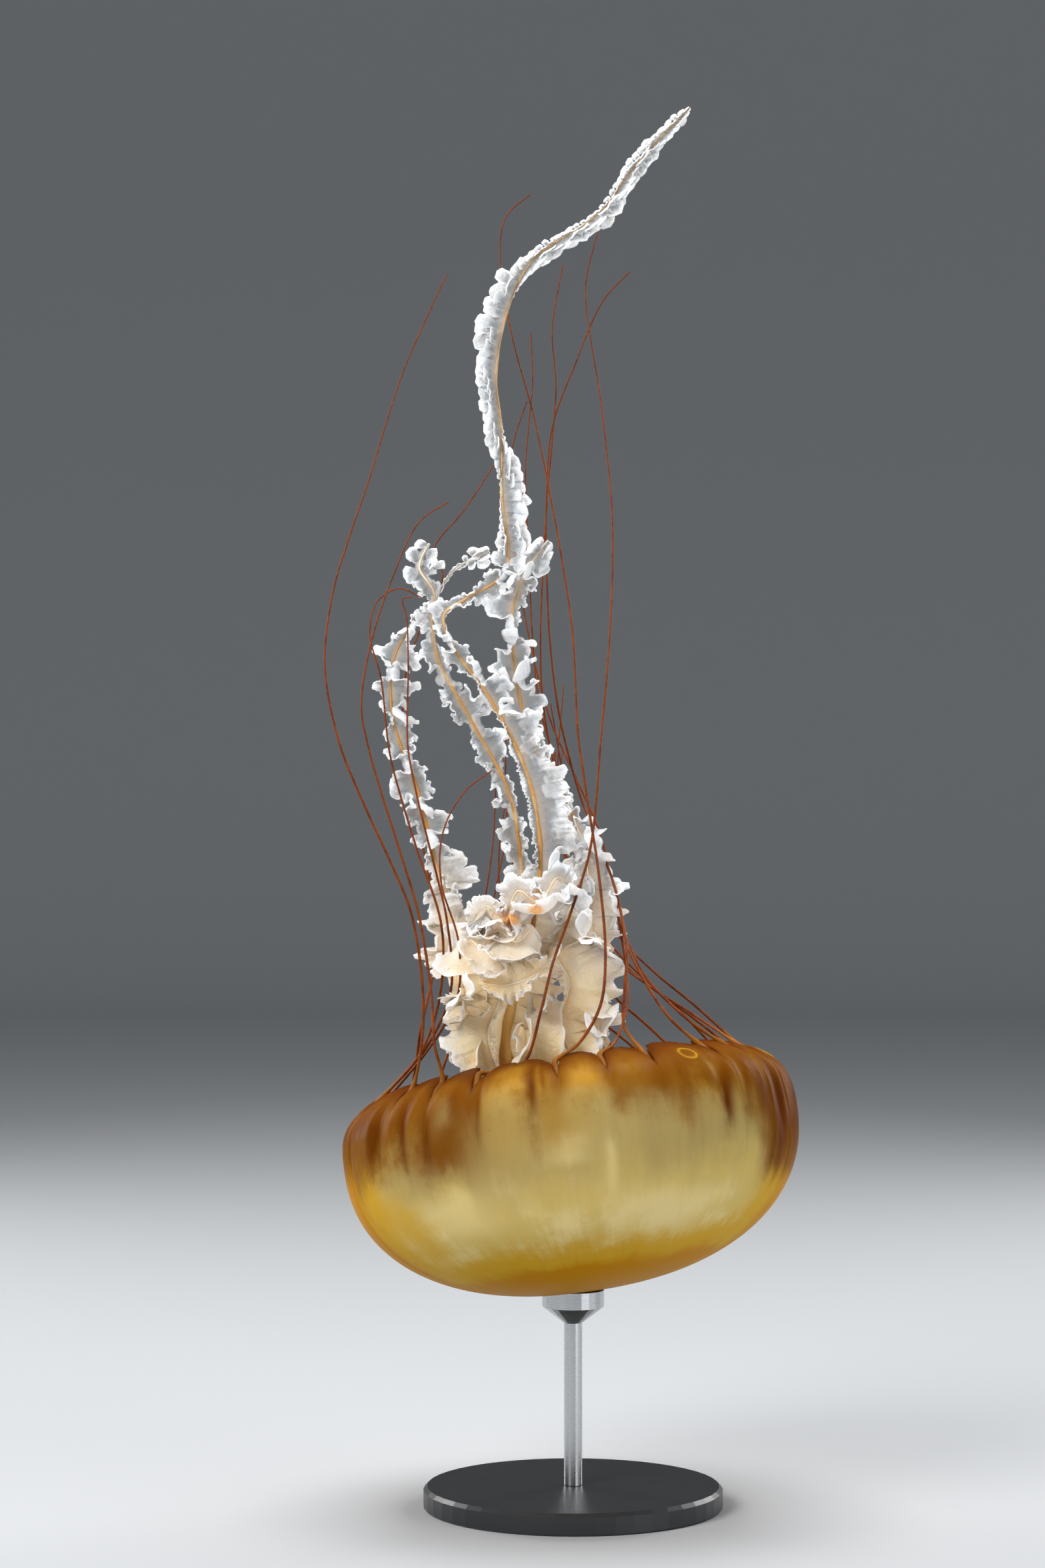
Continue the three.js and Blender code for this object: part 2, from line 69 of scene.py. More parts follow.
def make_sweep():
    roll = [math.radians(angle) for angle in range(0, 91, 5)]
    flat = SWEEP_RADIUS - SWEEP_ROLL
    outline = [(flat * share, 0.0) for share in (0.02, 0.1, 0.25, 0.5, 0.75)]
    outline += [(flat + SWEEP_ROLL * math.sin(a), SWEEP_ROLL * (1 - math.cos(a))) for a in roll]
    outline.append((SWEEP_RADIUS, SWEEP_HEIGHT))
    sides = SWEEP_SIDES
    turns = [2 * math.pi * side / sides for side in range(sides)]
    corners = [(0, 0, 0)]
    corners += [(r * math.cos(a), r * math.sin(a), z) for r, z in outline for a in turns]
    faces = [(0, 1 + side, 1 + (side + 1) % sides) for side in range(sides)]
    for ring in range(len(outline) - 1):
        for side in range(sides):
            here, there = 1 + ring * sides + side, 1 + ring * sides + (side + 1) % sides
            faces.append((here, here + sides, there + sides, there))
    mesh = bpy.data.meshes.new("sweep")
    mesh.from_pydata(corners, [], faces)
    mesh.shade_smooth()
    card, tree = new_material("pale card")
    shader = tree.nodes["Principled BSDF"]
    shader.inputs["Base Color"].default_value = SWEEP_GREY
    shader.inputs["Roughness"].default_value = SWEEP_ROUGHNESS
    mesh.materials.append(card)
    link(bpy.data.objects.new("sweep", mesh))


def soft_box(name, place, aim, size, power, colour=(1, 1, 1)):
    light = bpy.data.lights.new(name, "AREA")
    light.shape = "RECTANGLE"
    light.size, light.size_y = size
    light.energy = power
    light.color = colour
    lamp = link(bpy.data.objects.new(name, light))
    lamp.location = place
    lamp.rotation_euler = (Vector(aim) - Vector(place)).to_track_quat("-Z", "Y").to_euler()


def make_camera():
    lens = bpy.data.cameras.new("camera")
    lens.sensor_fit = "VERTICAL"
    lens.sensor_width = CAMERA_SENSOR
    lens.sensor_height = CAMERA_SENSOR
    lens.lens = CAMERA_LENS
    camera = link(bpy.data.objects.new("camera", lens))
    camera.location = CAMERA_PLACE
    camera.rotation_euler = (math.radians(90), 0, 0)
    bpy.context.scene.camera = camera


make_sweep()
soft_box("key", (-1.3, -1.5, 1.5), (0, 0, 0.35), (1.1, 1.1), 50)
soft_box("fill", (1.7, -1.2, 0.7), (0, 0, 0.35), (1.2, 1.4), 20, (0.95, 0.98, 1.0))
soft_box("top", (0.0, 0.2, 1.9), (0, 0, 0.4), (0.9, 0.9), 30)
soft_box("rim left", (-1.4, 1.2, 0.8), (0, 0, 0.4), (0.5, 1.2), 16)
soft_box("rim right", (1.3, 1.3, 0.9), (0, 0, 0.4), (0.5, 1.2), 16)
world = bpy.data.worlds.new("room light")
world.use_nodes = True
world.node_tree.nodes["Background"].inputs["Color"].default_value = ROOM_GLOW
world.node_tree.nodes["Background"].inputs["Strength"].default_value = ROOM_STRENGTH
bpy.context.scene.world = world
bpy.context.scene.view_settings.view_transform = "Standard"
bpy.context.scene.cycles.transparent_max_bounces = CLEAR_LAYERS
make_camera()


# ---- Bell ------------------------------------
# A bowl of firm clear jelly, thick at the apex and thin at the margin, where 24 notches carry the
# tentacles and eight pits hold the sense organs. The golden skin pales round the middle and darkens to
# rust along the margin and down the folds. It is one skin that a rule shapes, row by row.

BELL_RADIUS, BELL_DEPTH, MARGIN_RISE = 0.125, 0.084, 0.046
DOME_POWER, MARGIN_POWER = 2.26, 3.0
BELL_CENTRE, BELL_PITCH, BELL_ROLL = Vector((-0.0015, 0, 0.202)), math.radians(-9), math.radians(-8.5)
APEX_WALL, SIDE_WALL, RIM_WALL = 0.013, 0.0045, 0.0024
# Round the margin, in degrees: where its first lobe starts, an eighth of it, and the step it is made of.
# Of each eighth's 15 steps, the double lobe takes 7 round its pit, and the two lappets take 4 each.
MARGIN_START, OCTANT, LAPPET_STEP = -25.5, 45, 3
DOUBLE_STEPS, LAPPET_STEPS = 7.0, 4.0
MARGIN_DRIFT, DRIFT_START = 6.5, 25
# A turn is how far up the outer wall a point is, in degrees from the bell's apex.
NOTCH_TURN, LOBE_TURN, PIT_TURN = 116.0, 142.0, 121.0
PIT_RING, PIT_DEPTH = 4.3, 0.0005
# Deep folds of this animal's wall: degrees round from the front, half width, the turn it starts at, depth.
BELL_FOLDS = (
    (-57, 2.2, 78, 0.0030), (-46, 1.6, 84, 0.0022), (-38, 2.0, 90, 0.0010), (-23.5, 1.8, 84, 0.0022),
    (-8.5, 1.8, 88, 0.0024), (8, 1.4, 92, 0.0010), (19, 2.5, 92, 0.0012), (41.5, 1.8, 78, 0.0026),
    (49, 1.6, 84, 0.0016), (66, 2.6, 70, 0.0034), (76, 2.2, 84, 0.0020),
)
bell_place = (
    Matrix.Translation(BELL_CENTRE)
    @ Matrix.Rotation(BELL_PITCH, 4, "X")
    @ Matrix.Rotation(BELL_ROLL, 4, "Y")
)


def function_of(operation):
    """A way to put a wire through one Math node."""
    def put_through(wire):
        return wire.sum(operation, wire)
    return put_through


def arithmetic(operation, other_first=False):
    """A way to join a wire and another value by one Math node."""
    def join(wire, other):
        return wire.sum(operation, other, wire) if other_first else wire.sum(operation, wire, other)
    return join


class Wire:
    """A value on a node tree's wire. Plain arithmetic on it adds the Math nodes that do the sum."""

    def __init__(self, tree, socket):
        self.tree, self.socket = tree, socket

    def sum(self, operation, *values):
        return out(self.tree, "ShaderNodeMath", dict(enumerate(values)), {"operation": operation})

    __add__, __radd__ = arithmetic("ADD"), arithmetic("ADD", True)
    __sub__, __rsub__ = arithmetic("SUBTRACT"), arithmetic("SUBTRACT", True)
    __mul__, __rmul__ = arithmetic("MULTIPLY"), arithmetic("MULTIPLY", True)
    __truediv__, __rtruediv__ = arithmetic("DIVIDE"), arithmetic("DIVIDE", True)
    __pow__, __mod__ = arithmetic("POWER"), arithmetic("FLOORED_MODULO")
    __gt__, __lt__ = arithmetic("GREATER_THAN"), arithmetic("LESS_THAN")
    low, high = arithmetic("MINIMUM"), arithmetic("MAXIMUM")
    sin, cos, arcsine = function_of("SINE"), function_of("COSINE"), function_of("ARCSINE")
    __abs__, root = function_of("ABSOLUTE"), function_of("SQRT")

    def __neg__(self):
        return self * -1.0

    def bell_curve(self, width):
        """1 where the value is 0, and falling away to nothing a few widths off."""
        return 1.0 / self.sum("EXPONENT", (self / width) * (self / width))

    def ease(self, start, end, low=0.0, high=1.0):
        """A smooth step from low at start to high at end."""
        values = {"Value": self, "From Min": start, "From Max": end, "To Min": low, "To Max": high}
        return out(self.tree, "ShaderNodeMapRange", values, {"interpolation_type": "SMOOTHSTEP"}, "Result")

    def blend(self, first, second):
        """first where this is 0, second where it is 1."""
        return first + (second - first) * self


def plug(tree, socket, value):
    if isinstance(value, Wire):
        tree.links.new(value.socket, socket)
    else:
        socket.default_value = value


def add_node(tree, kind, values=None, settings=None):
    node = tree.nodes.new(kind)
    for name, value in (settings or {}).items():
        setattr(node, name, value)
    for name, value in (values or {}).items():
        plug(tree, node.inputs[name], value)
    return node


def out(tree, kind, values=None, settings=None, output=0):
    return Wire(tree, add_node(tree, kind, values, settings).outputs[output])


def vector_sum(operation, *vectors, **sizes):
    """Vector arithmetic, such as ADD on two wires, or SCALE on one with its Scale."""
    values = {**dict(enumerate(vectors)), **sizes}
    return out(vectors[0].tree, "ShaderNodeVectorMath", values, {"operation": operation})


def combine(x, y, z):
    return out(x.tree, "ShaderNodeCombineXYZ", {"X": x, "Y": y, "Z": z})


def separate(vector):
    node = add_node(vector.tree, "ShaderNodeSeparateXYZ", {"Vector": vector})
    return [Wire(vector.tree, output) for output in node.outputs]


def noise(vector, scale=1.0, detail=2.0, roughness=0.5, seed=0.0):
    """Cloudy noise round 0, from about -1 to 1."""
    shifted = vector_sum("ADD", vector, seed if isinstance(seed, Wire) else (seed, seed, seed))
    values = {"Vector": shifted, "Scale": scale, "Detail": detail, "Roughness": roughness}
    return (out(vector.tree, "ShaderNodeTexNoise", values) - 0.5) * 2.0


def new_shape_tree(name, inputs):
    """A Geometry Nodes tree with named inputs and its result socket. Gives the tree and its input wires."""
    tree = bpy.data.node_groups.new(name, "GeometryNodeTree")
    tree.interface.new_socket("Geometry", in_out="INPUT", socket_type="NodeSocketGeometry")
    tree.interface.new_socket("Geometry", in_out="OUTPUT", socket_type="NodeSocketGeometry")
    for label, value in inputs.items():
        kind = {int: "Int", float: "Float"}.get(type(value), "Material")
        socket = tree.interface.new_socket(label, in_out="INPUT", socket_type="NodeSocket" + kind)
        if value is not None:
            socket.default_value = value
    start = tree.nodes.new("NodeGroupInput")
    return tree, {output.name: Wire(tree, output) for output in start.outputs if output.name}


def flat_grid(tree, columns, rows):
    """A flat grid of vertices, with each one's place across and along it, from -0.5 to 0.5."""
    grid = out(tree, "GeometryNodeMeshGrid", {
        "Size X": 1.0, "Size Y": 1.0, "Vertices X": columns, "Vertices Y": rows,
    })
    x, y, _ = separate(out(tree, "GeometryNodeInputPosition"))
    return grid, x, y


def finish_shape_tree(tree, geometry, material):
    realized = out(tree, "GeometryNodeRealizeInstances", {"Geometry": geometry})
    painted = out(tree, "GeometryNodeSetMaterial", {"Geometry": realized, "Material": material})
    plug(tree, tree.nodes.new("NodeGroupOutput").inputs[0], painted)


def close_sheet(sheet, place, material):
    """Ends a tree: moves a grid to its places, joins the edges that meet, and sets its material."""
    shaped = out(sheet.tree, "GeometryNodeSetPosition", {"Geometry": sheet, "Position": place})
    closed = out(sheet.tree, "GeometryNodeMergeByDistance", {"Geometry": shaped, "Distance": 1e-6})
    finish_shape_tree(sheet.tree, closed, material)


def store(geometry, name, value, kind="FLOAT"):
    values = {"Geometry": geometry, "Name": name, "Value": value}
    settings = {"data_type": kind, "domain": "POINT"}
    return out(geometry.tree, "GeometryNodeStoreNamedAttribute", values, settings)


def grow(name, start, tree, values):
    """Runs a shape tree on a start mesh and gives a plain mesh."""
    holder = link(bpy.data.objects.new(name, start))
    modifier = holder.modifiers.new(tree.name, "NODES")
    modifier.node_group = tree
    sockets = {item.name: item.identifier for item in tree.interface.items_tree if item.in_out == "INPUT"}
    for label, value in values.items():
        modifier[sockets[label]] = value
    bpy.context.view_layer.update()
    graph = bpy.context.evaluated_depsgraph_get()
    mesh = bpy.data.meshes.new_from_object(holder.evaluated_get(graph))
    bpy.data.objects.remove(holder)
    mesh.name = name
    return mesh


def margin_parts(degrees):
    """The margin at an angle: its lobe (1 in the middle, 0 in a notch), degrees to the notch, and steps."""
    steps = ((degrees - MARGIN_START) / LAPPET_STEP) % (OCTANT / LAPPET_STEP)
    past_double = steps > DOUBLE_STEPS
    past_single = steps > DOUBLE_STEPS + LAPPET_STEPS
    width = DOUBLE_STEPS - past_double * (DOUBLE_STEPS - LAPPET_STEPS)
    across = (steps - past_double * DOUBLE_STEPS - past_single * LAPPET_STEPS) * 2.0 / width - 1.0
    lobe = 1.0 - abs(across) ** 2.2
    from_notch = (1.0 - abs(across)) * width * (LAPPET_STEP / 2)
    return lobe, from_notch, steps


def bell_tree():
    tree, inputs = new_shape_tree("bell rule", {
        "Sides": 600,
        "Rows": 160,
        "Pleat Depth": 0.0024,
        "Crease Depth": 0.0016,
        "Ear Turn": 4.0,
        "Wrinkle": 0.0009,
        "Seed": 3.0,
        "Jelly": None,
    })
    marked, x, y = flat_grid(tree, inputs["Sides"] + 1.0, inputs["Rows"] + 1.0)
    nominal = (x + 0.5) * 360.0 + MARGIN_START
    there = 1.0 - abs(y * 2.0)
    inner = y > 0.0
    drift = ((nominal + DRIFT_START) * (math.pi / 180)).sin() * MARGIN_DRIFT
    away = (nominal + drift) * (math.pi / 180)
    sine, cosine = away.sin(), away.cos()
    lobe, from_notch, steps = margin_parts(nominal)

    # How far round the wall a point is, in degrees from the apex, and how deep under the outer skin.
    flat_round = combine(sine, cosine, 0.0)
    uneven = noise(flat_round, 2.3, 2.0, 0.5, inputs["Seed"])
    ear = (from_notch - 1.4).bell_curve(0.6) * inputs["Ear Turn"]
    from_middle = steps - DOUBLE_STEPS / 2
    dip = from_middle.bell_curve(0.22) * 2.5
    end = (1.0 - (1.0 - lobe) ** 1.7).blend(NOTCH_TURN, LOBE_TURN) + ear - dip + uneven * lobe * 5.0
    end = end + noise(flat_round, 9.0, 4.0, 0.65, inputs["Seed"]) * 4.5
    turn = there * end
    angle = turn * (math.pi / 180)
    side_wall = turn.ease(0.0, 90.0, APEX_WALL, SIDE_WALL)
    wall = turn.ease(90.0, NOTCH_TURN).blend(side_wall, RIM_WALL)
    rim = ((there - 0.975) / 0.025).high(0.0)
    rounding = (1.0 - rim * rim).high(0.0).root()
    inset = wall * (0.5 + (inner - 0.5) * rounding)

    # The bowl, with a pleat at every notch and a crease running down from it.
    past_ring = turn > 90.0
    power = past_ring.blend(2 / DOME_POWER, 2 / MARGIN_POWER)
    height = past_ring.blend(BELL_DEPTH, MARGIN_RISE)
    loose = (noise(flat_round, 4.3, 1.0, 0.5, inputs["Seed"] + 11.0) * 2.2 + 0.45).ease(0.0, 1.0)
    fold_start = 86.0 - loose * 10.0 + uneven * 8.0
    pleat = (1.0 - lobe) * ((turn - fold_start) / 22.0).ease(0.0, 1.0)
    pleat = pleat * inputs["Pleat Depth"] * (loose * 0.75 + 0.25)
    depth = loose * inputs["Crease Depth"] * ((turn - fold_start) / 20.0).ease(0.0, 1.0)
    crease = (from_notch + uneven * 0.5).bell_curve(1.0)
    wrinkled = combine(sine * 9.0, cosine * 9.0, turn / 70.0)
    wrinkle = noise(wrinkled, 2.2, 3.0, 0.55, inputs["Seed"]) * turn.ease(60.0, 100.0, 0.25, 1.0)
    across_pit = from_middle * LAPPET_STEP * 1.95
    down_pit = (turn - PIT_TURN) * 0.8
    from_pit = (across_pit * across_pit + down_pit * down_pit).root()
    pit = (from_pit - PIT_RING).bell_curve(0.9) * PIT_DEPTH - from_pit.ease(3.8, 2.0) * PIT_DEPTH
    degrees = (nominal + drift + 180.0) % 360.0 - 180.0
    inward = (pleat + crease * depth) * cosine.ease(0.0, 0.4, 1.0, 0.5)
    for way, half_width, low_turn, fold_depth in BELL_FOLDS:
        beside = (degrees - way + uneven * 1.5) / half_width
        inward = inward + beside.bell_curve(1.0) * turn.ease(low_turn, low_turn + 24.0) * fold_depth
    radius = (BELL_RADIUS - inset) * angle.sin().high(0.0) ** power - inward
    radius = radius + (wrinkle * inputs["Wrinkle"] + pit * (1.0 - inner)) * turn.ease(20.0, 60.0)
    rise = (height - inset) * abs(angle.cos()) ** power * past_ring.blend(-1.0, 1.0)
    place = combine(radius * sine, -radius * cosine, rise)

    for name, value in (("turn", turn / 100.0), ("reach", there), ("lobe", lobe),
                        ("notch", from_notch / 10.0), ("pit", from_pit / 10.0), ("inner", inner)):
        marked = store(marked, name, value)
    marked = store(marked, "meridian", combine(sine, cosine, turn / 100.0), "FLOAT_VECTOR")
    close_sheet(marked, place, inputs["Jelly"])
    return tree


def attribute(tree, name, output="Fac"):
    return out(tree, "ShaderNodeAttribute", None, {"attribute_name": name}, output)


def object_place(tree):
    return out(tree, "ShaderNodeTexCoord", output="Object")


def lay(under, share, coat):
    """A colour with a coat of another over it, as thick as its share says."""
    settings = {"data_type": "RGBA", "clamp_factor": True}
    return out(share.tree, "ShaderNodeMix", {0: share, 6: under, 7: coat}, settings, 2)


def bump(height, distance, strength):
    values = {"Height": height, "Distance": distance, "Strength": strength}
    return out(height.tree, "ShaderNodeBump", values)


def set_finish(material, values):
    """Sets a shader's own sockets: plain values stay on them, and wires feed them."""
    tree = material.node_tree
    for name, value in values.items():
        plug(tree, tree.nodes["Principled BSDF"].inputs[name], value)
    return material


FLESH_IOR = 1.36
BELL_OCHRE = (0.46, 0.195, 0.004, 1)
BELL_GOLD = (0.53, 0.30, 0.02, 1)
BELL_MILK = (0.56, 0.41, 0.125, 1)
BELL_CREAM = (0.71, 0.57, 0.26, 1)
BELL_PEARL = (0.34, 0.25, 0.09, 1)
BELL_TAN = (0.38, 0.25, 0.07, 1)
BELL_AMBER = (0.43, 0.21, 0.02, 1)
BELL_HONEY = (0.29, 0.14, 0.01, 1)
BELL_BROWN = (0.16, 0.052, 0.0025, 1)
BELL_RUST = (0.095, 0.02, 0.0008, 1)
BELL_DARK = (0.058, 0.0115, 0.0006, 1)
# Each stain: its colour, degrees round from the front, half width, the turns it runs between, strength.
BELL_STAINS = (
    (BELL_CREAM, 24, 17, 44, 64, 0.9), (BELL_CREAM, -36, 11, 56, 74, 0.6),
    (BELL_TAN, -16, 8, 82, 116, 0.8), (BELL_TAN, 0, 6, 84, 108, 0.75),
    (BELL_AMBER, -10, 8, 108, 132, 0.55), (BELL_AMBER, 4, 9, 104, 124, 0.75),
    (BELL_CREAM, -2, 5, 78, 88, 0.4), (BELL_CREAM, 8, 1.5, 66, 84, 0.4),
    (BELL_PEARL, 32, 4, 80, 96, 0.4), (BELL_PEARL, 19, 3, 72, 98, 0.5),
    (BELL_BROWN, -32, 9, 80, 108, 0.95), (BELL_BROWN, -48, 6, 88, 126, 0.95),
    (BELL_HONEY, -5, 4, 84, 104, 0.6), (BELL_BROWN, 14, 4, 90, 116, 0.6),
    (BELL_BROWN, 21, 5, 90, 120, 0.9), (BELL_BROWN, 28, 4, 88, 128, 0.7),
    (BELL_BROWN, 66, 9, 66, 112, 0.8), (BELL_BROWN, 0, 6, 119, 150, 0.7),
    (BELL_BROWN, 18, 8, 117, 150, 0.85), (BELL_RUST, 29, 6, 108, 150, 0.75),
    (BELL_RUST, 48, 12, 110, 150, 0.8), (BELL_RUST, -50, 7, 100, 130, 0.6),
    (BELL_GOLD, -53, 7, 44, 76, 0.7), (BELL_RUST, -9, 1.5, 92, 144, 1.0),
    (BELL_RUST, -6, 0.9, 102, 144, 0.7), (BELL_RUST, 42, 2.0, 80, 120, 1.0),
    (BELL_RUST, 49, 1.4, 86, 118, 0.6), (BELL_RUST, 56, 4, 90, 114, 0.6),
    (BELL_RUST, 66, 3.6, 72, 112, 1.0), (BELL_RUST, -58, 3, 86, 122, 1.0),
    (BELL_RUST, -46, 1.5, 86, 114, 1.0), (BELL_PEARL, -33, 3, 94, 112, 0.5),
    (BELL_RUST, -38, 1.5, 86, 118, 0.9), (BELL_RUST, -30, 4, 100, 136, 1.0),
    (BELL_RUST, -23.5, 1.2, 90, 132, 0.8),
)


def bell_jelly():
    material, tree = new_material("bell jelly")
    turn, notch = attribute(tree, "turn") * 100.0, attribute(tree, "notch") * 10.0
    reach, lobe = attribute(tree, "reach"), attribute(tree, "lobe")
    pit, inner = attribute(tree, "pit") * 10.0, attribute(tree, "inner")
    around_x, around_y, down = separate(attribute(tree, "meridian", "Vector"))
    place = object_place(tree)

    def streaks(finer, longer, detail, seed):
        """Noise drawn out along the meridians."""
        drawn_out = combine(around_x * finer, around_y * finer, down * longer)
        return noise(drawn_out, 1.0, detail, 0.6, seed)

    slow = streaks(2.6, 0.8, 2.0, 1.0)
    streak = streaks(11.0, 1.8, 4.0, 4.0)
    fine = streaks(34.0, 6.0, 4.0, 7.0)
    broad, cloud = noise(place, 11.0, 3.0, 0.5, 9.0), noise(place, 28.0, 6.0, 0.62)
    way_round = around_x.sum("ARCTAN2", around_x, around_y) * (180 / math.pi)
    # Masks for painted shade: the sides as seen from the front, where the jelly is darkened, and the middle
    # of the front, where it is left paler.
    on_right, on_left = around_x.ease(0.66, 0.92), (-around_x).ease(0.66, 0.92)
    at_front, in_middle = around_y.ease(0.1, 0.4), around_y.ease(0.84, 0.98)

    # Ochre where the jelly turns away to the sides and the apex, then milk, cream and pearl, then honey.
    # The ochre is partly the jelly's own gold and partly painted shade, for jelly seen edge-on from the
    # front.
    low = turn + streak * 3.0 + fine * 2.5 + cloud * 8.0 + broad * 6.0
    front = abs(around_y) + streak * 0.04 + fine * 0.02 + cloud * 0.09
    zone = turn + streak * 3.5 + fine * 2.0 + cloud * 10.0 + broad * 8.0
    milky = low.ease(41.0, 55.0) * front.ease(0.42, 0.64)
    colour = lay(BELL_OCHRE, low.ease(30.0, 39.0) * front.ease(0.22, 0.42), BELL_GOLD)
    colour = lay(colour, milky, BELL_MILK)
    creamy = (broad + cloud * 1.3 + fine * 0.25).ease(-0.1, 0.6) * zone.ease(84.0, 58.0) * milky
    colour = lay(colour, creamy * 0.9, BELL_CREAM)
    colour = lay(colour, (zone + slow * 12.0).ease(62.0, 84.0, 0.0, 0.85) * milky, BELL_PEARL)
    pearly = (cloud * 0.9 - broad * 0.5 + streak * 0.5).ease(0.0, 0.5, 0.0, 0.6) * zone.ease(60.0, 78.0)
    colour = lay(colour, pearly * milky, BELL_CREAM)
    # Honey is the jelly's own colour. That it reaches higher at the sides and lower in the front's middle
    # is painted shade.
    honeyed = zone + on_right * 14.0 + on_left * 6.0 + slow * 10.0 + cloud * 6.0 - in_middle * 8.0
    colour = lay(colour, honeyed.ease(82.0, 101.0, 0.0, 0.95), BELL_HONEY)
    shaded = (cloud * 1.3 - broad * 0.7 + streak * 0.5).ease(0.0, 0.6, 0.0, 0.65)
    combed = (fine * 0.8 + streak * 0.5 + cloud * 0.6).ease(0.05, 0.7, 0.0, 0.4)
    colour = lay(colour, shaded * zone.ease(66.0, 96.0), BELL_BROWN)
    colour = lay(colour, combed * zone.ease(80.0, 100.0), BELL_BROWN)
    # Painted shade: brown and then rust reach far up the wall at the sides, most on the right, where the
    # jelly is seen edge-on.
    side_turn = turn + streak * 4.0 + cloud * 6.0 + on_right * 26.0 + on_left * 6.0
    side_shade = on_right + on_left
    colour = lay(colour, side_turn.ease(86.0, 98.0, 0.0, 0.9) * side_shade, BELL_BROWN)
    colour = lay(colour, side_turn.ease(98.0, 112.0, 0.0, 0.9) * side_shade, BELL_RUST)

    # The stains and pale marks that set this animal apart, each with soft, streaky edges.
    leaning = (90.0 - turn) * around_x.high(0.0) * 0.2
    for stain, way, half_width, low_turn, top_turn, share in BELL_STAINS:
        across = (way_round + leaning - way) / half_width + streak * 0.4 + cloud * 0.9
        middle, half_height = (top_turn + low_turn) / 2, (top_turn - low_turn) / 2
        down_it = (turn - middle) / half_height + streak * 0.4 + cloud * 0.8 + fine * 0.1
        spread = (across * across + down_it * down_it * down_it * down_it).root().bell_curve(1.0) * share
        colour = lay(colour, spread, stain)

    smoky = (cloud * 1.4 + broad * 0.9 + streak * 0.3).ease(0.05, 0.65, 0.0, 0.5) * turn.ease(86.0, 104.0)
    colour = lay(colour, smoky, BELL_BROWN)

    # Brown hangs down from the notches in soft pools of uneven length, darkest along the folds.
    loose = (slow * 1.6 + 0.5).ease(0.0, 1.0) * (1.0 - at_front * 0.6)
    pool_end = 94.0 - loose * 16.0 + streak * 5.0 + cloud * 7.0
    reach_out = (3.6 + loose * 4.0).high(1.5)
    pool = (notch + streak * 1.6 + cloud * 1.4 + fine * 0.5).high(0.0).ease(0.2, reach_out, 1.0, 0.0)
    pool = pool * ((turn - pool_end) / 22.0).ease(0.0, 1.0)
    colour = lay(colour, pool * 0.8, BELL_BROWN)
    fold = (notch + streak * 0.5).high(0.0).bell_curve(0.7)
    fold = fold * (turn - pool_end).ease(-4.0, 22.0) * (loose * 0.8 + streak * 0.5).high(0.05)
    colour = lay(colour, fold, BELL_RUST)
    # The margin's own brown and rust. In the middle of the front they start nearer the rim, as part of the
    # painted shade.
    margin = turn + fine * 2.0 + streak * 4.0 + cloud * 5.0 + (1.0 - lobe) * 14.0 - in_middle * 14.0
    colour = lay(colour, margin.ease(94.0, 124.0, 0.0, 0.8), BELL_BROWN)
    colour = lay(colour, (margin + in_middle * 10.0).ease(121.0, 136.0, 0.0, 0.9), BELL_RUST)
    colour = lay(colour, reach.ease(0.93, 1.0, 0.0, 0.6), BELL_DARK)

    # The ring of each sense organ's pit, and fine specks.
    ring = (pit - PIT_RING).bell_curve(0.7) * (1.0 - inner)
    ring = ring * (around_x - around_y * 0.4).ease(-0.3, 0.7, 0.0, 0.9)
    colour = lay(colour, ring, BELL_GOLD)
    specks = noise(place, 800.0, 1.0, 0.5, 2.0).ease(0.42, 0.6) * turn.ease(70.0, 100.0, 0.05, 0.6)
    colour = lay(colour, specks, BELL_BROWN)
    height = streak * 0.2 + fine * 0.12 + noise(place, 700.0, 2.0, 0.6) * 0.05
    return set_finish(material, {
        "Base Color": colour,
        "Normal": bump(height, 0.0005, 0.7),
        "Roughness": 0.42 + abs(cloud) * 0.15,
        "Subsurface Weight": 0.4,
        "Subsurface Radius": (0.8, 0.5, 0.2),
        "Subsurface Scale": 0.003,
        "Coat Weight": 0.025,
        "Coat Roughness": 0.2,
        "Coat IOR": FLESH_IOR,
        "IOR": FLESH_IOR,
        "Specular IOR Level": 0.02,
    })


def nodes_of(start):
    return sorted(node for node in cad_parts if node.startswith(start))


def show(name, mesh, nodes):
    """Puts a finished mesh in the scene as a piece that stands for its nodes."""
    mesh.shade_smooth()
    piece = link(bpy.data.objects.new(name, mesh))
    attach(piece, "root")
    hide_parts(*nodes)
    return piece


bell_mesh = grow("bell_skin", bpy.data.meshes.new("start"), bell_tree(), {"Jelly": bell_jelly()})
bell_mesh.transform(bell_place)
show("bell_skin", bell_mesh, ["bell"])


# ---- Oral arms ------------------------------------
# Four long arms hang from the corners of the mouth. Each is a tough golden rib that carries two thin
# lips. A lip's free edge is far longer than its rib, so it gathers into white frills as it grows.

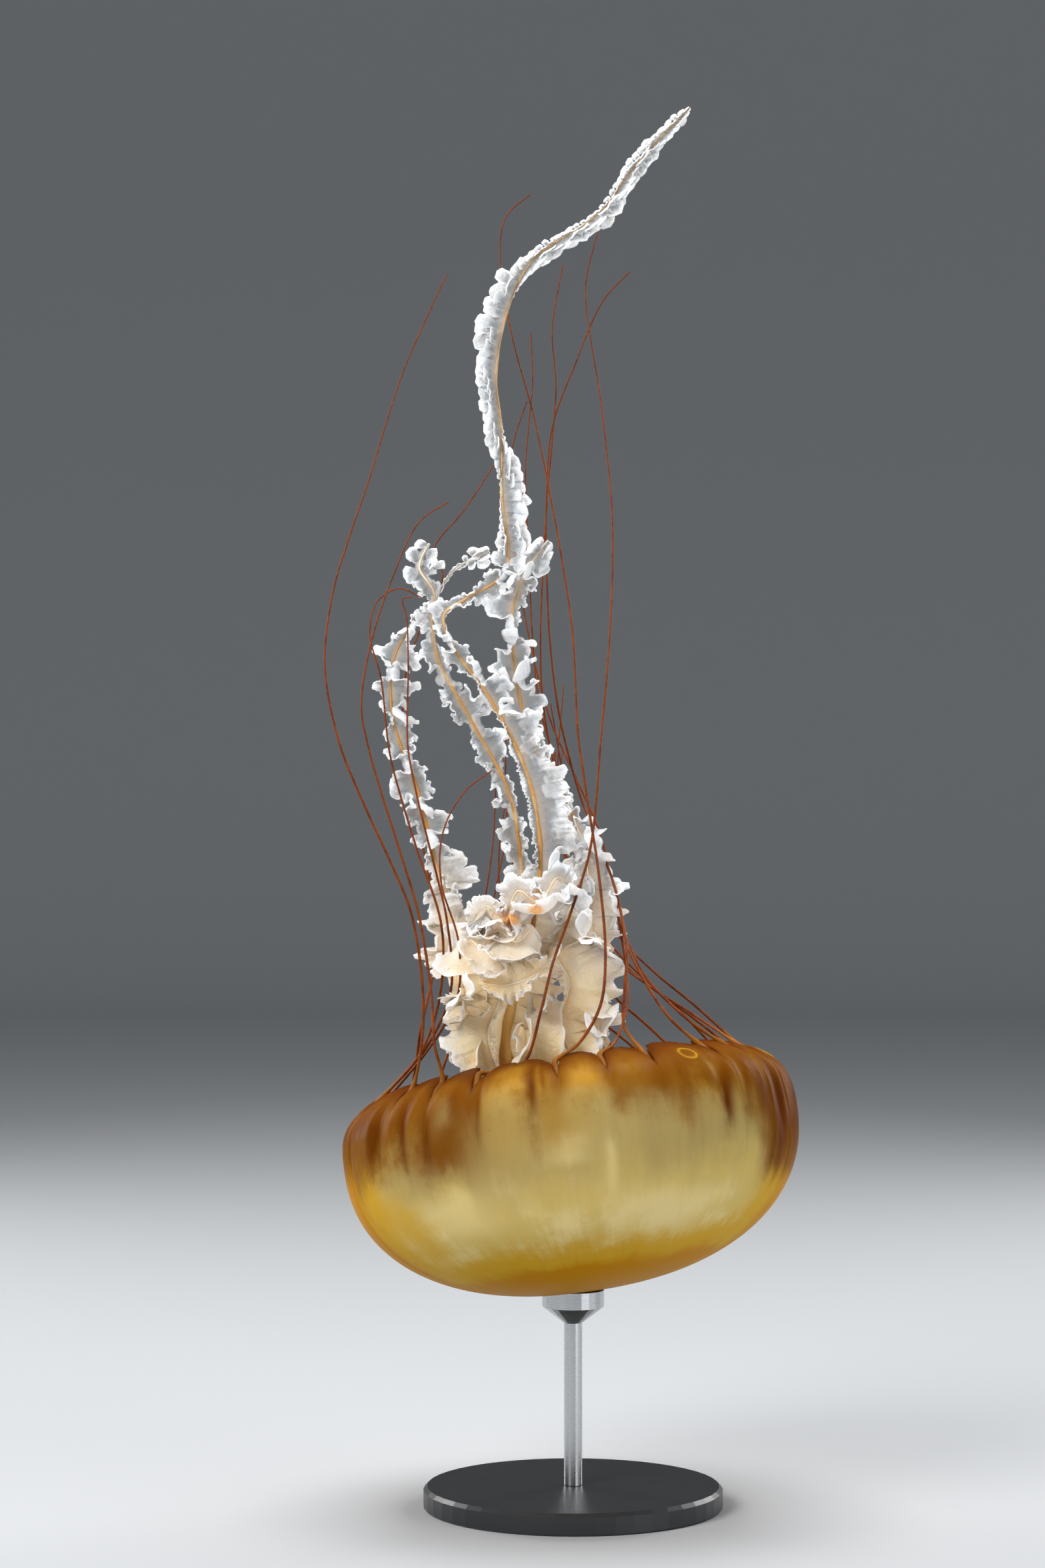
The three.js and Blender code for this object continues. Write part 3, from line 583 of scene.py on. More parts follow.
# Stops along each rib: its place, and how far the lip reaches to the left and to the right, all in
# millimetres, and then the way it faces, in degrees from the front towards the right.
ARM_STOPS = {
    "long": [
        (-24, -12, 204, 12, 12, 0), (-37, -36, 254, 22, 16, 0), (-23, -38, 315, 21, 21, 0),
        (-18, -36, 358, 5, 19, 0), (-25, -32, 400, 5, 18, 0), (-45, -29, 441, 3, 14, 0),
        (-67, -27, 473, 8, 4, 0), (-70, -27, 487, 8, 2, 0), (-58, -26, 496, 4, 7, 0),
        (-37, -23, 511, 8, 9, 0), (-39, -18, 552, 2, 15, 0), (-39, -15, 586, 9, 2, 0),
        (-42, -13, 619, 12, 1, 0), (-35, -12, 656, 15, 1, 0), (-22, -11, 681, 5, 6, 0),
        (14, -8, 707, 3, 8, 0), (35, -4, 735, 5, 6, 0), (64, 0, 766, 4, 4, 0),
    ],
    "right": [
        (-9, 3, 204, 12, 12, 90), (10, -4, 256, 25, 9, 25), (16, -6, 307, 27, 6, 18),
        (9, -2, 350, 17, 4, 12), (-4, 6, 387, 8, 6, 10), (-23, 12, 420, 6, 9, 0),
        (-31, 13, 453, 12, 16, 0), (-33, 12, 490, 13, 5, 0), (-26, 9, 512, 10, 12, 0),
        (-14, 6, 529, 7, 8, 0),
    ],
    "middle": [
        (-24, 18, 201, 12, 12, 180), (-25, 34, 253, 17, 17, 180), (-27, 24, 306, 15, 15, 180),
        (-28, 6, 347, 8, 11, 180), (-35, -5, 391, 4, 10, 180), (-54, -8, 427, 14, 7, 180),
        (-74, -8, 465, 5, 10, 180), (-77, -8, 487, 5, 8, 180), (-76, -8, 500, 7, 6, 180),
        (-84, -8, 514, 10, 10, 180), (-79, -7, 527, 8, 9, 180),
    ],
    "left": [
        (-39, 3, 201, 12, 12, -90), (-57, 0, 256, 9, 18, -25), (-61, 0, 299, 8, 19, -15),
        (-74, 6, 347, 6, 17, -10), (-86, 12, 394, 14, 8, 0), (-99, 15, 431, 6, 12, 0),
        (-99, 16, 464, 10, 12, 0), (-90, 16, 481, 6, 7, 0), (-78, 16, 495, 3, 3, 0),
        (-66, 15, 513, 2, 2, 0), (-46, 12, 524, 9, 9, 0),
    ],
}
ARM_SEEDS = {"long": 1.0, "right": 5.0, "middle": 9.0, "left": 13.0}
RIB_ROOT, RIB_MIDDLE, RIB_TIP = 0.0036, 0.00115, 0.0004
RIB_MARKS = (0, 0.04, 0.065, 0.12)
LIP_INSET, LEAST_LIP = 0.001, 0.0003
LEAST_FOLD, FOLD_SHARE, DEEPEST_FOLD = 0.006, 0.35, 0.0042
COLUMN_WIDTH, MOST_COLUMNS = 0.0003, 1750
STOP_STEPS = 24
# Heights, and how far each fades: the calm flesh below, the pleats above, and a smooth stretch between.
CALM_TOP, CALM_FADE = 0.36, 0.05
PLEATS_START, PLEATS_FADE = 0.505, 0.02
SMOOTH_HEIGHT, SMOOTH_REACH = 0.39, 0.03


def smooth_run(points, steps):
    """A smooth run through points, with so many steps from each to the next."""
    points = np.array(points, float)
    padded = np.vstack([2 * points[0] - points[1], points, 2 * points[-1] - points[-2]])
    run = []
    for i in range(len(points) - 1):
        p0, p1, p2, p3 = padded[i:i + 4]
        gaps = [max(np.linalg.norm(b - a) ** 0.5, 1e-6) for a, b in ((p0, p1), (p1, p2), (p2, p3))]
        m1 = (p1 - p0) / gaps[0] - (p2 - p0) / (gaps[0] + gaps[1]) + (p2 - p1) / gaps[1]
        m2 = (p2 - p1) / gaps[1] - (p3 - p1) / (gaps[1] + gaps[2]) + (p3 - p2) / gaps[2]
        m1, m2 = m1 * gaps[1], m2 * gaps[1]
        for step in range(steps):
            t = step / steps
            run.append(p1 + m1 * t + (3 * (p2 - p1) - 2 * m1 - m2) * t * t
                       + (2 * (p1 - p2) + m1 + m2) * t ** 3)
    run.append(points[-1])
    return np.array(run)


def distance_gone(places):
    """How far along a run each of its places is."""
    return np.concatenate([[0], np.cumsum(np.linalg.norm(np.diff(places, axis=0), axis=1))])


def line_mesh(name, places, values):
    """A bare line of vertices that carries values at each of them."""
    mesh = bpy.data.meshes.new(name)
    mesh.from_pydata([tuple(p) for p in places], [(i, i + 1) for i in range(len(places) - 1)], [])
    for label, numbers in values.items():
        numbers = np.asarray(numbers, np.float32)
        vector = numbers.ndim == 2
        layer = mesh.attributes.new(label, "FLOAT_VECTOR" if vector else "FLOAT", "POINT")
        layer.data.foreach_set("vector" if vector else "value", numbers.ravel())
    return mesh


def offset(start, *moves):
    """start moved along each direction by its distance."""
    for direction, distance in moves:
        start = vector_sum("ADD", start, vector_sum("SCALE", direction, Scale=distance))
    return start


def named(tree, name, kind="FLOAT"):
    return out(tree, "GeometryNodeInputNamedAttribute", {"Name": name}, {"data_type": kind})


def join(tree, *parts):
    node = tree.nodes.new("GeometryNodeJoinGeometry")
    for part in parts:
        plug(tree, node.inputs[0], part)
    return Wire(tree, node.outputs[0])


def thick_sheet(sheet, thickness):
    """A sheet given a thickness and closed all round."""
    face_up = vector_sum("SCALE", out(sheet.tree, "GeometryNodeInputNormal"), Scale=thickness)
    values = {"Mesh": sheet, "Offset": face_up, "Offset Scale": 1.0, "Individual": False}
    raised = out(sheet.tree, "GeometryNodeExtrudeMesh", values, {"mode": "FACES"})
    under = out(sheet.tree, "GeometryNodeFlipFaces", {"Mesh": sheet})
    both = join(sheet.tree, raised, under)
    return out(sheet.tree, "GeometryNodeMergeByDistance", {"Geometry": both, "Distance": 1e-7})


def cord_along(curve, sides):
    """A round cord along a run, as thick as its values say."""
    profile = out(curve.tree, "GeometryNodeCurvePrimitiveCircle", {"Resolution": sides, "Radius": 1.0})
    thick = named(curve.tree, "thick")
    values = {"Curve": curve, "Profile Curve": profile, "Fill Caps": True, "Scale": thick}
    return out(curve.tree, "GeometryNodeCurveToMesh", values)


def coat_of(geometry, material):
    return out(geometry.tree, "GeometryNodeSetMaterial", {"Geometry": geometry, "Material": material})


def frilled_lip(curve, inputs, side):
    """One lip: a sheet from the rib out to the frill, curled to and fro and gathered at three scales."""
    tree = curve.tree
    word, seed = ("right", inputs["Seed"]) if side > 0 else ("left", inputs["Seed"] + 31.0)
    grid, x, y = flat_grid(tree, inputs["Columns"], inputs["Rows"])
    along = x + 0.5
    out_from_rib = 1.0 - (0.5 - y) ** 1.3

    def at_rib(name, kind="FLOAT"):
        """A value of the rib, its place and its tangent, where a column of the lip grows from it."""
        values = {"Curves": curve, "Value": named(tree, name, kind), "Factor": along}
        settings = {"data_type": kind, "mode": "FACTOR", "use_all_curves": False}
        node = add_node(tree, "GeometryNodeSampleCurve", values, settings)
        return [Wire(tree, node.outputs[output]) for output in ("Value", "Position", "Tangent")]

    reach, rib, tangent = at_rib(word)
    folds, calm = at_rib(word + " folds")[0], at_rib("calm")[0]
    pleated, smooth = at_rib("pleated")[0], at_rib("smooth")[0]
    front = at_rib("front", "FLOAT_VECTOR")[0]
    across = vector_sum("NORMALIZE", vector_sum("CROSS_PRODUCT", tangent, front))
    outward = vector_sum("CROSS_PRODUCT", across, tangent)
    run = along * out(tree, "GeometryNodeCurveLength", {"Curve": curve})

    def drift(spacing, shift, detail=1.0):
        return noise(combine(run / spacing, shift, seed), 1.0, detail)

    # The lobes, which roll to the front and to the back by turns, and the folds in each lobe's edge.
    lively = (1.0 - calm * inputs["Calming"]) * (1.0 - smooth * 0.8)
    lobe_turn = run / inputs["Lobe Spacing"] * (2 * math.pi) + drift(0.05, 1.0) * 5.0
    roll = lobe_turn.sin() * (1.0 + drift(0.03, 2.0) * 0.7) * inputs["Lobe Roll"]
    roll = roll * lively * (1.0 - pleated * 0.75)
    half = (roll + inputs["Curl"] + drift(0.02, 3.0) * 0.8) * out_from_rib ** 1.2 * 0.5
    bearing = drift(0.05, 4.0) * 0.9 * lively + inputs["Lean"] + half
    edge_way = bearing + half
    shrink = 1.0 - half * half / 6.0 + half * half * half * half / 120.0
    fan = 1.0 - (lobe_turn * 2.0).cos() * inputs["Lobe Swell"] * lively * (1.0 - pleated)
    turn = folds * (2 * math.pi) + drift(0.03, 12.0) * 4.0
    spring = out_from_rib ** 1.3 * (1.0 + drift(0.02, 13.0) * 0.8).high(0.15) * lively
    depth = (reach * inputs["Fold Depth"] * (1.0 + pleated)).low(DEEPEST_FOLD) * spring
    ruffle = folds * inputs["Ruffles"] * (2 * math.pi) + drift(0.012, 6.0) * 9.0 + out_from_rib * 1.6
    crinkle = ruffle * 2.7 + drift(0.005, 8.0) * 4.0
    scallop = 1.0 - (turn * 2.0).cos() * (pleated * 0.24 + 0.07) + drift(0.009, 9.0) * (pleated * 0.3 + 0.2)
    teeth = (crinkle.sin() * 0.035 + ruffle.sin() * 0.05) * out_from_rib ** 5.0
    scallop = scallop + teeth * calm.high(pleated)
    ragged = drift(0.003, 5.0, 2.0) * (calm * 0.14 + 0.12) * out_from_rib
    width = reach * (1.15 - pleated * 0.4 + ragged) * fan * scallop * out_from_rib * shrink
    fold_x = (turn * 2.0).sin() * depth * (pleated * -0.5 - 0.5)
    fold_x = fold_x - (lobe_turn * 2.0).sin() * out_from_rib * reach * 0.2 * lively * (1.0 - pleated)
    zigzag = (turn.sin() * 0.98).arcsine() * (2 / math.pi)
    fold_z = pleated.blend(turn.sin(), zigzag * 1.15) * depth

    # The quick gathers, square to the folds, which deepen towards the free edge.
    pitch = (2 * math.pi) / (reach * FOLD_SHARE + LEAST_FOLD)
    way_x = 1.0 - (turn * 2.0).cos() * depth * pitch * (pleated + 1.0)
    way_z = turn.cos() * depth * pitch
    pace = (way_x * way_x + way_z * way_z).root().high(0.3)
    fullness = (reach / 0.007).low(1.0)
    gather = out_from_rib ** 2.0 * inputs["Ruffle Depth"] * fullness * (1.0 + drift(0.013, 7.0) * 1.0)
    nip = out_from_rib ** 5.0 * inputs["Crinkle Depth"] * fullness
    lift = ruffle.sin() * gather + crinkle.sin() * nip
    shift = (ruffle * 2.0).sin() * gather * -0.5
    rise = fold_z + (way_x * lift + way_z * shift) / pace
    slide = fold_x + (way_x * shift - way_z * lift) / pace
    place = offset(
        rib,
        (across, (bearing.cos() * width - edge_way.sin() * rise) * float(side)),
        (outward, bearing.sin() * width + edge_way.cos() * rise),
        (tangent, slide),
    )
    marked = store(store(grid, "frill", out_from_rib), "calm", calm)
    sheet = out(tree, "GeometryNodeSetPosition", {"Geometry": marked, "Position": place})
    return thick_sheet(sheet, inputs["Lip Thickness"])


def arm_tree():
    tree, inputs = new_shape_tree("oral arm", {
        "Columns": 400,
        "Rows": 13,
        "Rib Sides": 12,
        "Lobe Spacing": 0.026,
        "Lobe Roll": 2.3,
        "Lobe Swell": 0.25,
        "Curl": 0.3,
        "Lean": 0.25,
        "Fold Depth": 0.34,
        "Calming": 0.4,
        "Ruffles": 3.3,
        "Ruffle Depth": 0.0012,
        "Crinkle Depth": 0.0003,
        "Lip Thickness": 0.00035,
        "Seed": 1.0,
        "Rib": None,
        "Lip": None,
    })
    curve = out(tree, "GeometryNodeMeshToCurve", {"Mesh": inputs["Geometry"]})
    lips = [coat_of(frilled_lip(curve, inputs, side), inputs["Lip"]) for side in (-1, 1)]
    rib = coat_of(cord_along(curve, inputs["Rib Sides"]), inputs["Rib"])
    whole = out(tree, "GeometryNodeRealizeInstances", {"Geometry": join(tree, *lips, rib)})
    plug(tree, tree.nodes.new("NodeGroupOutput").inputs[0], whole)
    return tree


LIP_GREY = (0.38, 0.40, 0.415, 1)
LIP_WHITE = (0.90, 0.92, 0.93, 1)
LIP_EDGE = (0.97, 0.97, 0.96, 1)
LIP_CREAM = (0.98, 0.74, 0.40, 1)
LIP_PEACH = (0.98, 0.62, 0.31, 1)
LIP_MILK = (0.99, 0.84, 0.66, 1)
LIP_AMBER = (0.80, 0.25, 0.02, 1)
# Two amber spots in the frills in front of a depth: how far to the right, how high, and how wide.
AMBER_SPOTS = ((-0.0340, 0.3240, 0.0050), (-0.0205, 0.3295, 0.0040))
AMBER_DEPTH = -0.030


def lip_skin():
    material, tree = new_material("frilled lip")
    frill, calm = attribute(tree, "frill"), attribute(tree, "calm")
    place = object_place(tree)
    cloud = noise(place, 75.0, 3.0, 0.55)
    fine = noise(place, 420.0, 3.0, 0.6, 4.0)
    white = (frill + cloud * 0.5 + fine * 0.08).ease(0.36, 0.92)
    edge = (frill + fine * 0.05).ease(0.84, 0.95)
    x, y, z = separate(place)
    body = lay(LIP_CREAM, (z + cloud * 0.02).ease(0.275, 0.335), LIP_MILK)
    body = lay(LIP_GREY, calm, body)
    body = lay(body, (frill + cloud * 0.2).ease(0.3, 0.0, 0.0, 0.6), LIP_PEACH)
    glow = (noise(place, 30.0, 3.0, 0.5, 8.0) + cloud * 0.3).ease(-0.1, 0.4) * calm
    body = lay(body, glow * 0.4, LIP_PEACH)
    colour = lay(body, white * (1.0 - calm * 0.6), LIP_WHITE)
    colour = lay(colour, edge * (1.0 - calm * 0.4), LIP_EDGE)
    for spot_x, spot_z, size in AMBER_SPOTS:
        aside, above = x - spot_x, z - spot_z
        from_spot = (aside * aside * 0.5 + above * above).root() + cloud * 0.001
        amber = from_spot.ease(size, size * 0.4) * (y < AMBER_DEPTH)
        colour = lay(colour, amber * 0.9, LIP_AMBER)
    milkiness = (white + edge + calm * 1.2 + fine * 0.1).low(1.0)
    wrinkled = abs(noise(place, 170.0, 3.0, 0.6, 12.0)) * -1.6
    return set_finish(material, {
        "Base Color": colour,
        "Alpha": milkiness.ease(0.0, 1.0, 0.38, 1.0),
        "Normal": bump(fine * 0.5 + cloud * 0.5 + wrinkled, 0.0008, 0.7),
        "Roughness": 0.38,
        "Subsurface Weight": 0.55,
        "Subsurface Radius": (1.0, 0.85, 0.65),
        "Subsurface Scale": 0.005,
        "Coat Weight": 0.08,
        "IOR": FLESH_IOR,
        "Specular IOR Level": 0.2,
    })


RIB_GOLD = (0.56, 0.25, 0.035, 1)
RIB_PALE = (0.56, 0.31, 0.13, 1)
# Painted light: the rib's foot is paler than its gold, to make up for the shade it stands in among the
# frills.
RIB_FOOT_LIT = (1.0, 0.64, 0.20, 1)


def rib_skin():
    material, tree = new_material("golden rib")
    place = object_place(tree)
    mottle = noise(place, 500.0, 3.0, 0.6)
    patches = noise(place, 60.0, 2.0, 0.5, 5.0)
    up = separate(place)[2]
    colour = lay(RIB_GOLD, up.ease(0.3, 0.6), RIB_PALE)
    # Painted light at the foot of each rib, below about 0.3 m up.
    colour = lay(colour, up.ease(0.31, 0.27), RIB_FOOT_LIT)
    colour = lay(colour, (patches + mottle * 0.5).ease(0.0, 0.7, 0.0, 0.5), LIP_CREAM)
    colour = lay(colour, attribute(tree, "buried"), LIP_MILK)
    return set_finish(material, {
        "Base Color": colour,
        "Normal": bump(mottle, 0.0003, 0.7),
        "Roughness": 0.35,
        "Subsurface Weight": 0.2,
        "Subsurface Scale": 0.003,
    })


TUFT_RIB = 0.0005
# Short frills that grow from the arms' roots and hide them, as stops in the same form.
TUFT_STOPS = {
    "brow": [
        (-57, -50, 318, 6, 12, -10), (-47, -58, 331, 7, 16, 0), (-38, -56, 325, 8, 16, 0),
        (-30, -59, 339, 8, 18, 0), (-19, -60, 333, 8, 17, 5), (-9, -55, 346, 7, 16, 10),
        (2, -48, 338, 6, 14, 10),
    ],
    "bib": [
        (-57, -52, 314, 7, 12, -10), (-48, -60, 309, 10, 16, 0), (-41, -60, 318, 10, 18, 0),
        (-31, -62, 312, 9, 16, 0), (-22, -59, 320, 8, 13, 5),
    ],
    "chin": [
        (-50, -56, 290, 12, 6, 0), (-37, -62, 289, 15, 9, 0), (-24, -62, 293, 14, 8, 0),
        (-13, -56, 301, 10, 6, 0),
    ],
    "left curtain": [
        (-40, -46, 240, 23, 3, -20), (-46, -50, 262, 24, 4, -15), (-40, -54, 282, 28, 5, -12),
        (-44, -53, 300, 24, 5, -12), (-36, -52, 314, 24, 6, -10),
    ],
    "left hem": [
        (-52, -40, 238, 16, 3, -30), (-50, -44, 258, 18, 3, -25), (-50, -46, 284, 18, 3, -25),
    ],
    "right curtain": [
        (-1, -34, 246, 3, 26, 25), (-8, -39, 268, 4, 30, 20), (-3, -41, 290, 5, 26, 15),
        (-12, -42, 308, 6, 32, 15), (-2, -36, 330, 6, 24, 12),
    ],
    "inner lobe": [
        (-32, -46, 244, 20, 2, 0), (-20, -48, 245, 32, 2, 0), (-6, -46, 244, 26, 2, 10),
    ],
    "right mass": [
        (10, -18, 302, 6, 18, 20), (9, -20, 330, 6, 20, 18), (6, -16, 358, 6, 17, 15),
        (0, -12, 378, 4, 11, 10),
    ],
    "left mass": [
        (-62, -8, 284, 14, 4, -20), (-64, -10, 305, 18, 5, -20), (-66, -8, 327, 16, 6, -15),
        (-70, -4, 346, 10, 6, -10),
    ],
}

oral_arm, lip_material, rib_material = arm_tree(), lip_skin(), rib_skin()


def frilled_piece(name, stops, seed, rib_sizes, nodes, settings):
    """An arm, or a short frill where it stands for no nodes, grown along its stops."""
    stops = np.array(stops, float) / (1000, 1000, 1000, 1000, 1000, 1)
    places = smooth_run(stops[:, :3], STOP_STEPS)
    shape = smooth_run(stops[:, 3:] * (1000, 1000, 1), STOP_STEPS)
    left, right, facing = shape[:, 0] / 1000, shape[:, 1] / 1000, np.radians(shape[:, 2])
    gone = distance_gone(places)
    step = np.diff(gone, prepend=0)
    height, no_value = places[:, 2], 0 * gone
    tip = np.sqrt(np.clip((gone[-1] - gone) / 0.008, 0.02, 1))
    if not nodes:
        tip = tip * np.sqrt(np.clip(gone / 0.012, 0.02, 1))
    calm = np.clip((CALM_TOP - height) / CALM_FADE, 0, 1)
    pleated = np.clip((height - PLEATS_START) / PLEATS_FADE, 0, 1)
    closeness = 1 - 0.35 * pleated
    tip_white = np.clip((0.036 - (gone[-1] - gone)) / 0.015, 0, 1)
    if name == "long":
        smooth = np.exp(-((height - SMOOTH_HEIGHT) / SMOOTH_REACH) ** 4)
        buried = no_value
    else:
        smooth = no_value
        buried = np.maximum(calm, tip_white) if nodes else no_value + 1
    ripple = 1 + 0.14 * np.sin(gone * 260 + seed)
    values = {
        "left": np.maximum(left - LIP_INSET, LEAST_LIP) * tip,
        "right": np.maximum(right - LIP_INSET, LEAST_LIP) * tip,
        "left folds": np.cumsum(step / (LEAST_FOLD + FOLD_SHARE * left) / closeness),
        "right folds": np.cumsum(step / (LEAST_FOLD + FOLD_SHARE * right) / closeness),
        "front": np.stack([np.sin(facing), -np.cos(facing), 0 * facing], axis=1),
        "calm": calm,
        "pleated": pleated,
        "smooth": smooth,
        "buried": buried,
        "thick": np.interp(gone, (*RIB_MARKS, gone[-1]), rib_sizes) * ripple,
    }
    return grow(name, line_mesh("rib line", places, values), oral_arm, {
        "Columns": min(int(gone[-1] / COLUMN_WIDTH), MOST_COLUMNS),
        "Seed": seed,
        "Rib": rib_material,
        "Lip": lip_material,
        **settings,
    })


for arm, stops in ARM_STOPS.items():
    nodes = nodes_of(f"oral_arm_{arm}_")
    root = RIB_ROOT if arm == "long" else RIB_MIDDLE
    sizes = (root * 1.8, root * 1.2, root * 0.85, RIB_MIDDLE, RIB_TIP)
    mesh = frilled_piece(arm, stops, ARM_SEEDS[arm], sizes, nodes, {})
    show(f"oral_arm_{arm}_skin", mesh, nodes)

for number, (tuft, stops) in enumerate(TUFT_STOPS.items()):
    mesh = frilled_piece(tuft, stops, 40.0 + 3 * number, (TUFT_RIB,) * 5, [], {"Calming": 0.3, "Curl": 0.5})
    show(f"frill_{tuft.replace(' ', '_')}", mesh, [])


# ---- Mouth tube ------------------------------------
# The manubrium, a short fleshy tube that stands on the floor of the bell and hands on to the four arms at
# the soft corners of its mouth. Cream flesh, pleated lengthwise.

MOUTH_FOOT, MOUTH_TOP = (-0.0088, 0.0103, 0.1345), (-0.024, 0.003, 0.2065)
MOUTH_WAIST, MOUTH_FLARE, MOUTH_LIP, MOUTH_DISH = 0.0205, 0.0095, 0.0045, 0.009
# The shares of the sheet that close it below and dish it in above.
FOOT_SHARE, DISH_SHARE = 0.12, 0.25


def mouth_tree():
    tree, inputs = new_shape_tree("mouth tube", {
        "Sides": 160,
        "Rows": 90,
        "Corners": 0.1,
        "Pleats": 0.0011,
        "Seed": 2.0,
        "Flesh": None,
    })
    grid, x, y = flat_grid(tree, inputs["Sides"] + 1.0, inputs["Rows"] + 1.0)
    angle, share = (x + 0.5) * (2 * math.pi), y + 0.5
    up = ((share - FOOT_SHARE) / (1 - FOOT_SHARE - DISH_SHARE)).high(0.0).low(1.0)
    waist = MOUTH_WAIST + MOUTH_FLARE * (1.0 - up) ** 2.5 + MOUTH_LIP * up ** 3.0
    shut = (share / FOOT_SHARE).low(1.0) * ((1.0 - share) / DISH_SHARE).low(1.0)
    round_place = combine(angle.sin() * 2.0, angle.cos() * 2.0, share)
    pleat = noise(round_place, 3.0, 3.0, 0.5, inputs["Seed"]) * inputs["Pleats"]
    corner = (angle * 4.0).cos() * inputs["Corners"] * up ** 1.4
    radius = (waist * (1.0 + corner) + pleat * 2.0) * shut ** 0.6
    dish = ((share - (1 - DISH_SHARE)) / DISH_SHARE).high(0.0)
    lean = up ** 1.4
    foot, top = MOUTH_FOOT, MOUTH_TOP
    place = combine(
        lean * (top[0] - foot[0]) + foot[0] + angle.sin() * radius,
        lean * (top[1] - foot[1]) + foot[1] - angle.cos() * radius,
        up * (top[2] - foot[2]) + foot[2] - dish * MOUTH_DISH,
    )
    close_sheet(store(grid, "up", up), place, inputs["Flesh"])
    return tree


def mouth_flesh():
    material, tree = new_material("mouth flesh")
    place = object_place(tree)
    cloud = noise(place, 70.0, 3.0, 0.55)
    colour = lay(LIP_PEACH, attribute(tree, "up").ease(0.0, 0.9), LIP_CREAM)
    colour = lay(colour, cloud.ease(0.1, 0.6, 0.0, 0.5), LIP_WHITE)
    return set_finish(material, {
        "Base Color": colour,
        "Normal": bump(noise(place, 500.0, 2.0, 0.6), 0.0003, 0.5),
        "Roughness": 0.4,
        "Subsurface Weight": 0.3,
        "Subsurface Scale": 0.005,
        "IOR": FLESH_IOR,
        "Specular IOR Level": 0.3,
    })


mouth_mesh = grow("manubrium_skin", bpy.data.meshes.new("start"), mouth_tree(), {"Flesh": mouth_flesh()})
show("manubrium_skin", mouth_mesh, ["manubrium"])


# ---- Tentacles ------------------------------------
# Twenty-four stinging threads, one from each notch of the margin. Each leaves the jelly through a broad
# orange root and thins to a rust-red cord, rough with pale batteries of stinging cells.

THREAD_RADIUS, THREAD_TIP = 0.00088, 0.00036
THREAD_STEP, COURSE_STEPS = 0.0008, 40
# The root: how deep it sits in the jelly, and its radius at distances from its lower end.
ROOT_DEPTH = 0.011
ROOT_SHAPE = ((0, 0.0007), (0.006, 0.0018), (0.010, 0.0021), (0.018, 0.0016), (0.036, 0))


def ring_centres(node):
    """The middles of the rings of five that a plain tentacle is built of, from its lower end up."""
    corners = [tuple(round(value, 6) for value in vertex.co) for vertex in node.data.vertices]
    beside = {}
    for edge in node.data.edges:
        a, b = (corners[i] for i in edge.vertices)
        beside.setdefault(a, set()).add(b)
        beside.setdefault(b, set()).add(a)
    for start in sorted(beside, key=lambda corner: corner[2]):
        rings, seen = [{start}], {start}
        while rings[-1]:
            ring = {near for corner in rings[-1] for near in beside[corner]} - seen
            seen |= ring
            rings.append(ring)
        sizes = [len(ring) for ring in rings[:-1]]
        if sizes == [1] + [5] * (len(sizes) - 2) + [1]:
            return [np.mean(sorted(ring), axis=0) for ring in rings[1:-2]]
    raise ValueError(f"{node.name} isn't built of rings of five")


def tentacle_tree():
    tree, inputs = new_shape_tree("stinging thread", {
        "Sides": 10,
        "Grain": 0.00016,
        "Grain Size": 0.0009,
        "Skin": None,
    })
    curve = out(tree, "GeometryNodeMeshToCurve", {"Mesh": inputs["Geometry"]})
    cord = cord_along(curve, inputs["Sides"])
    place = out(tree, "GeometryNodeInputPosition")
    spread = vector_sum("SCALE", place, Scale=1.0 / inputs["Grain Size"])
    swell = noise(spread, 1.0, 1.0) * inputs["Grain"]
    push = vector_sum("SCALE", out(tree, "GeometryNodeInputNormal"), Scale=swell)
    rough = out(tree, "GeometryNodeSetPosition", {"Geometry": cord, "Offset": push})
    finish_shape_tree(tree, rough, inputs["Skin"])
    return tree


THREAD_RUST = (0.19, 0.038, 0.0035, 1)
THREAD_DARK = (0.095, 0.016, 0.0017, 1)
THREAD_ORANGE = (0.29, 0.10, 0.009, 1)
THREAD_DOT = (0.31, 0.10, 0.013, 1)


def thread_skin():
    material, tree = new_material("stinging thread")
    gone = attribute(tree, "gone")
    place = object_place(tree)
    mottle = noise(place, 120.0, 2.0, 0.5)
    dots = noise(place, 1500.0, 1.0, 0.5, 3.0)
    colour = lay(THREAD_RUST, mottle.ease(-0.3, 0.5), THREAD_DARK)
    colour = lay(colour, dots.ease(0.15, 0.4, 0.0, 0.6), THREAD_DOT)
    colour = lay(colour, (gone + mottle * 0.006).ease(0.004, 0.034, 1.0, 0.0), THREAD_ORANGE)
    colour = lay(colour, (gone + mottle * 0.003).ease(0.012, 0.003, 0.0, 0.8), BELL_BROWN)
    return set_finish(material, {
        "Base Color": colour,
        "Roughness": 0.45,
        "Subsurface Weight": 0.15,
        "Subsurface Scale": 0.001,
        "Specular IOR Level": 0.08,
        "Coat Weight": 0.04,
        "Coat Roughness": 0.15,
    })


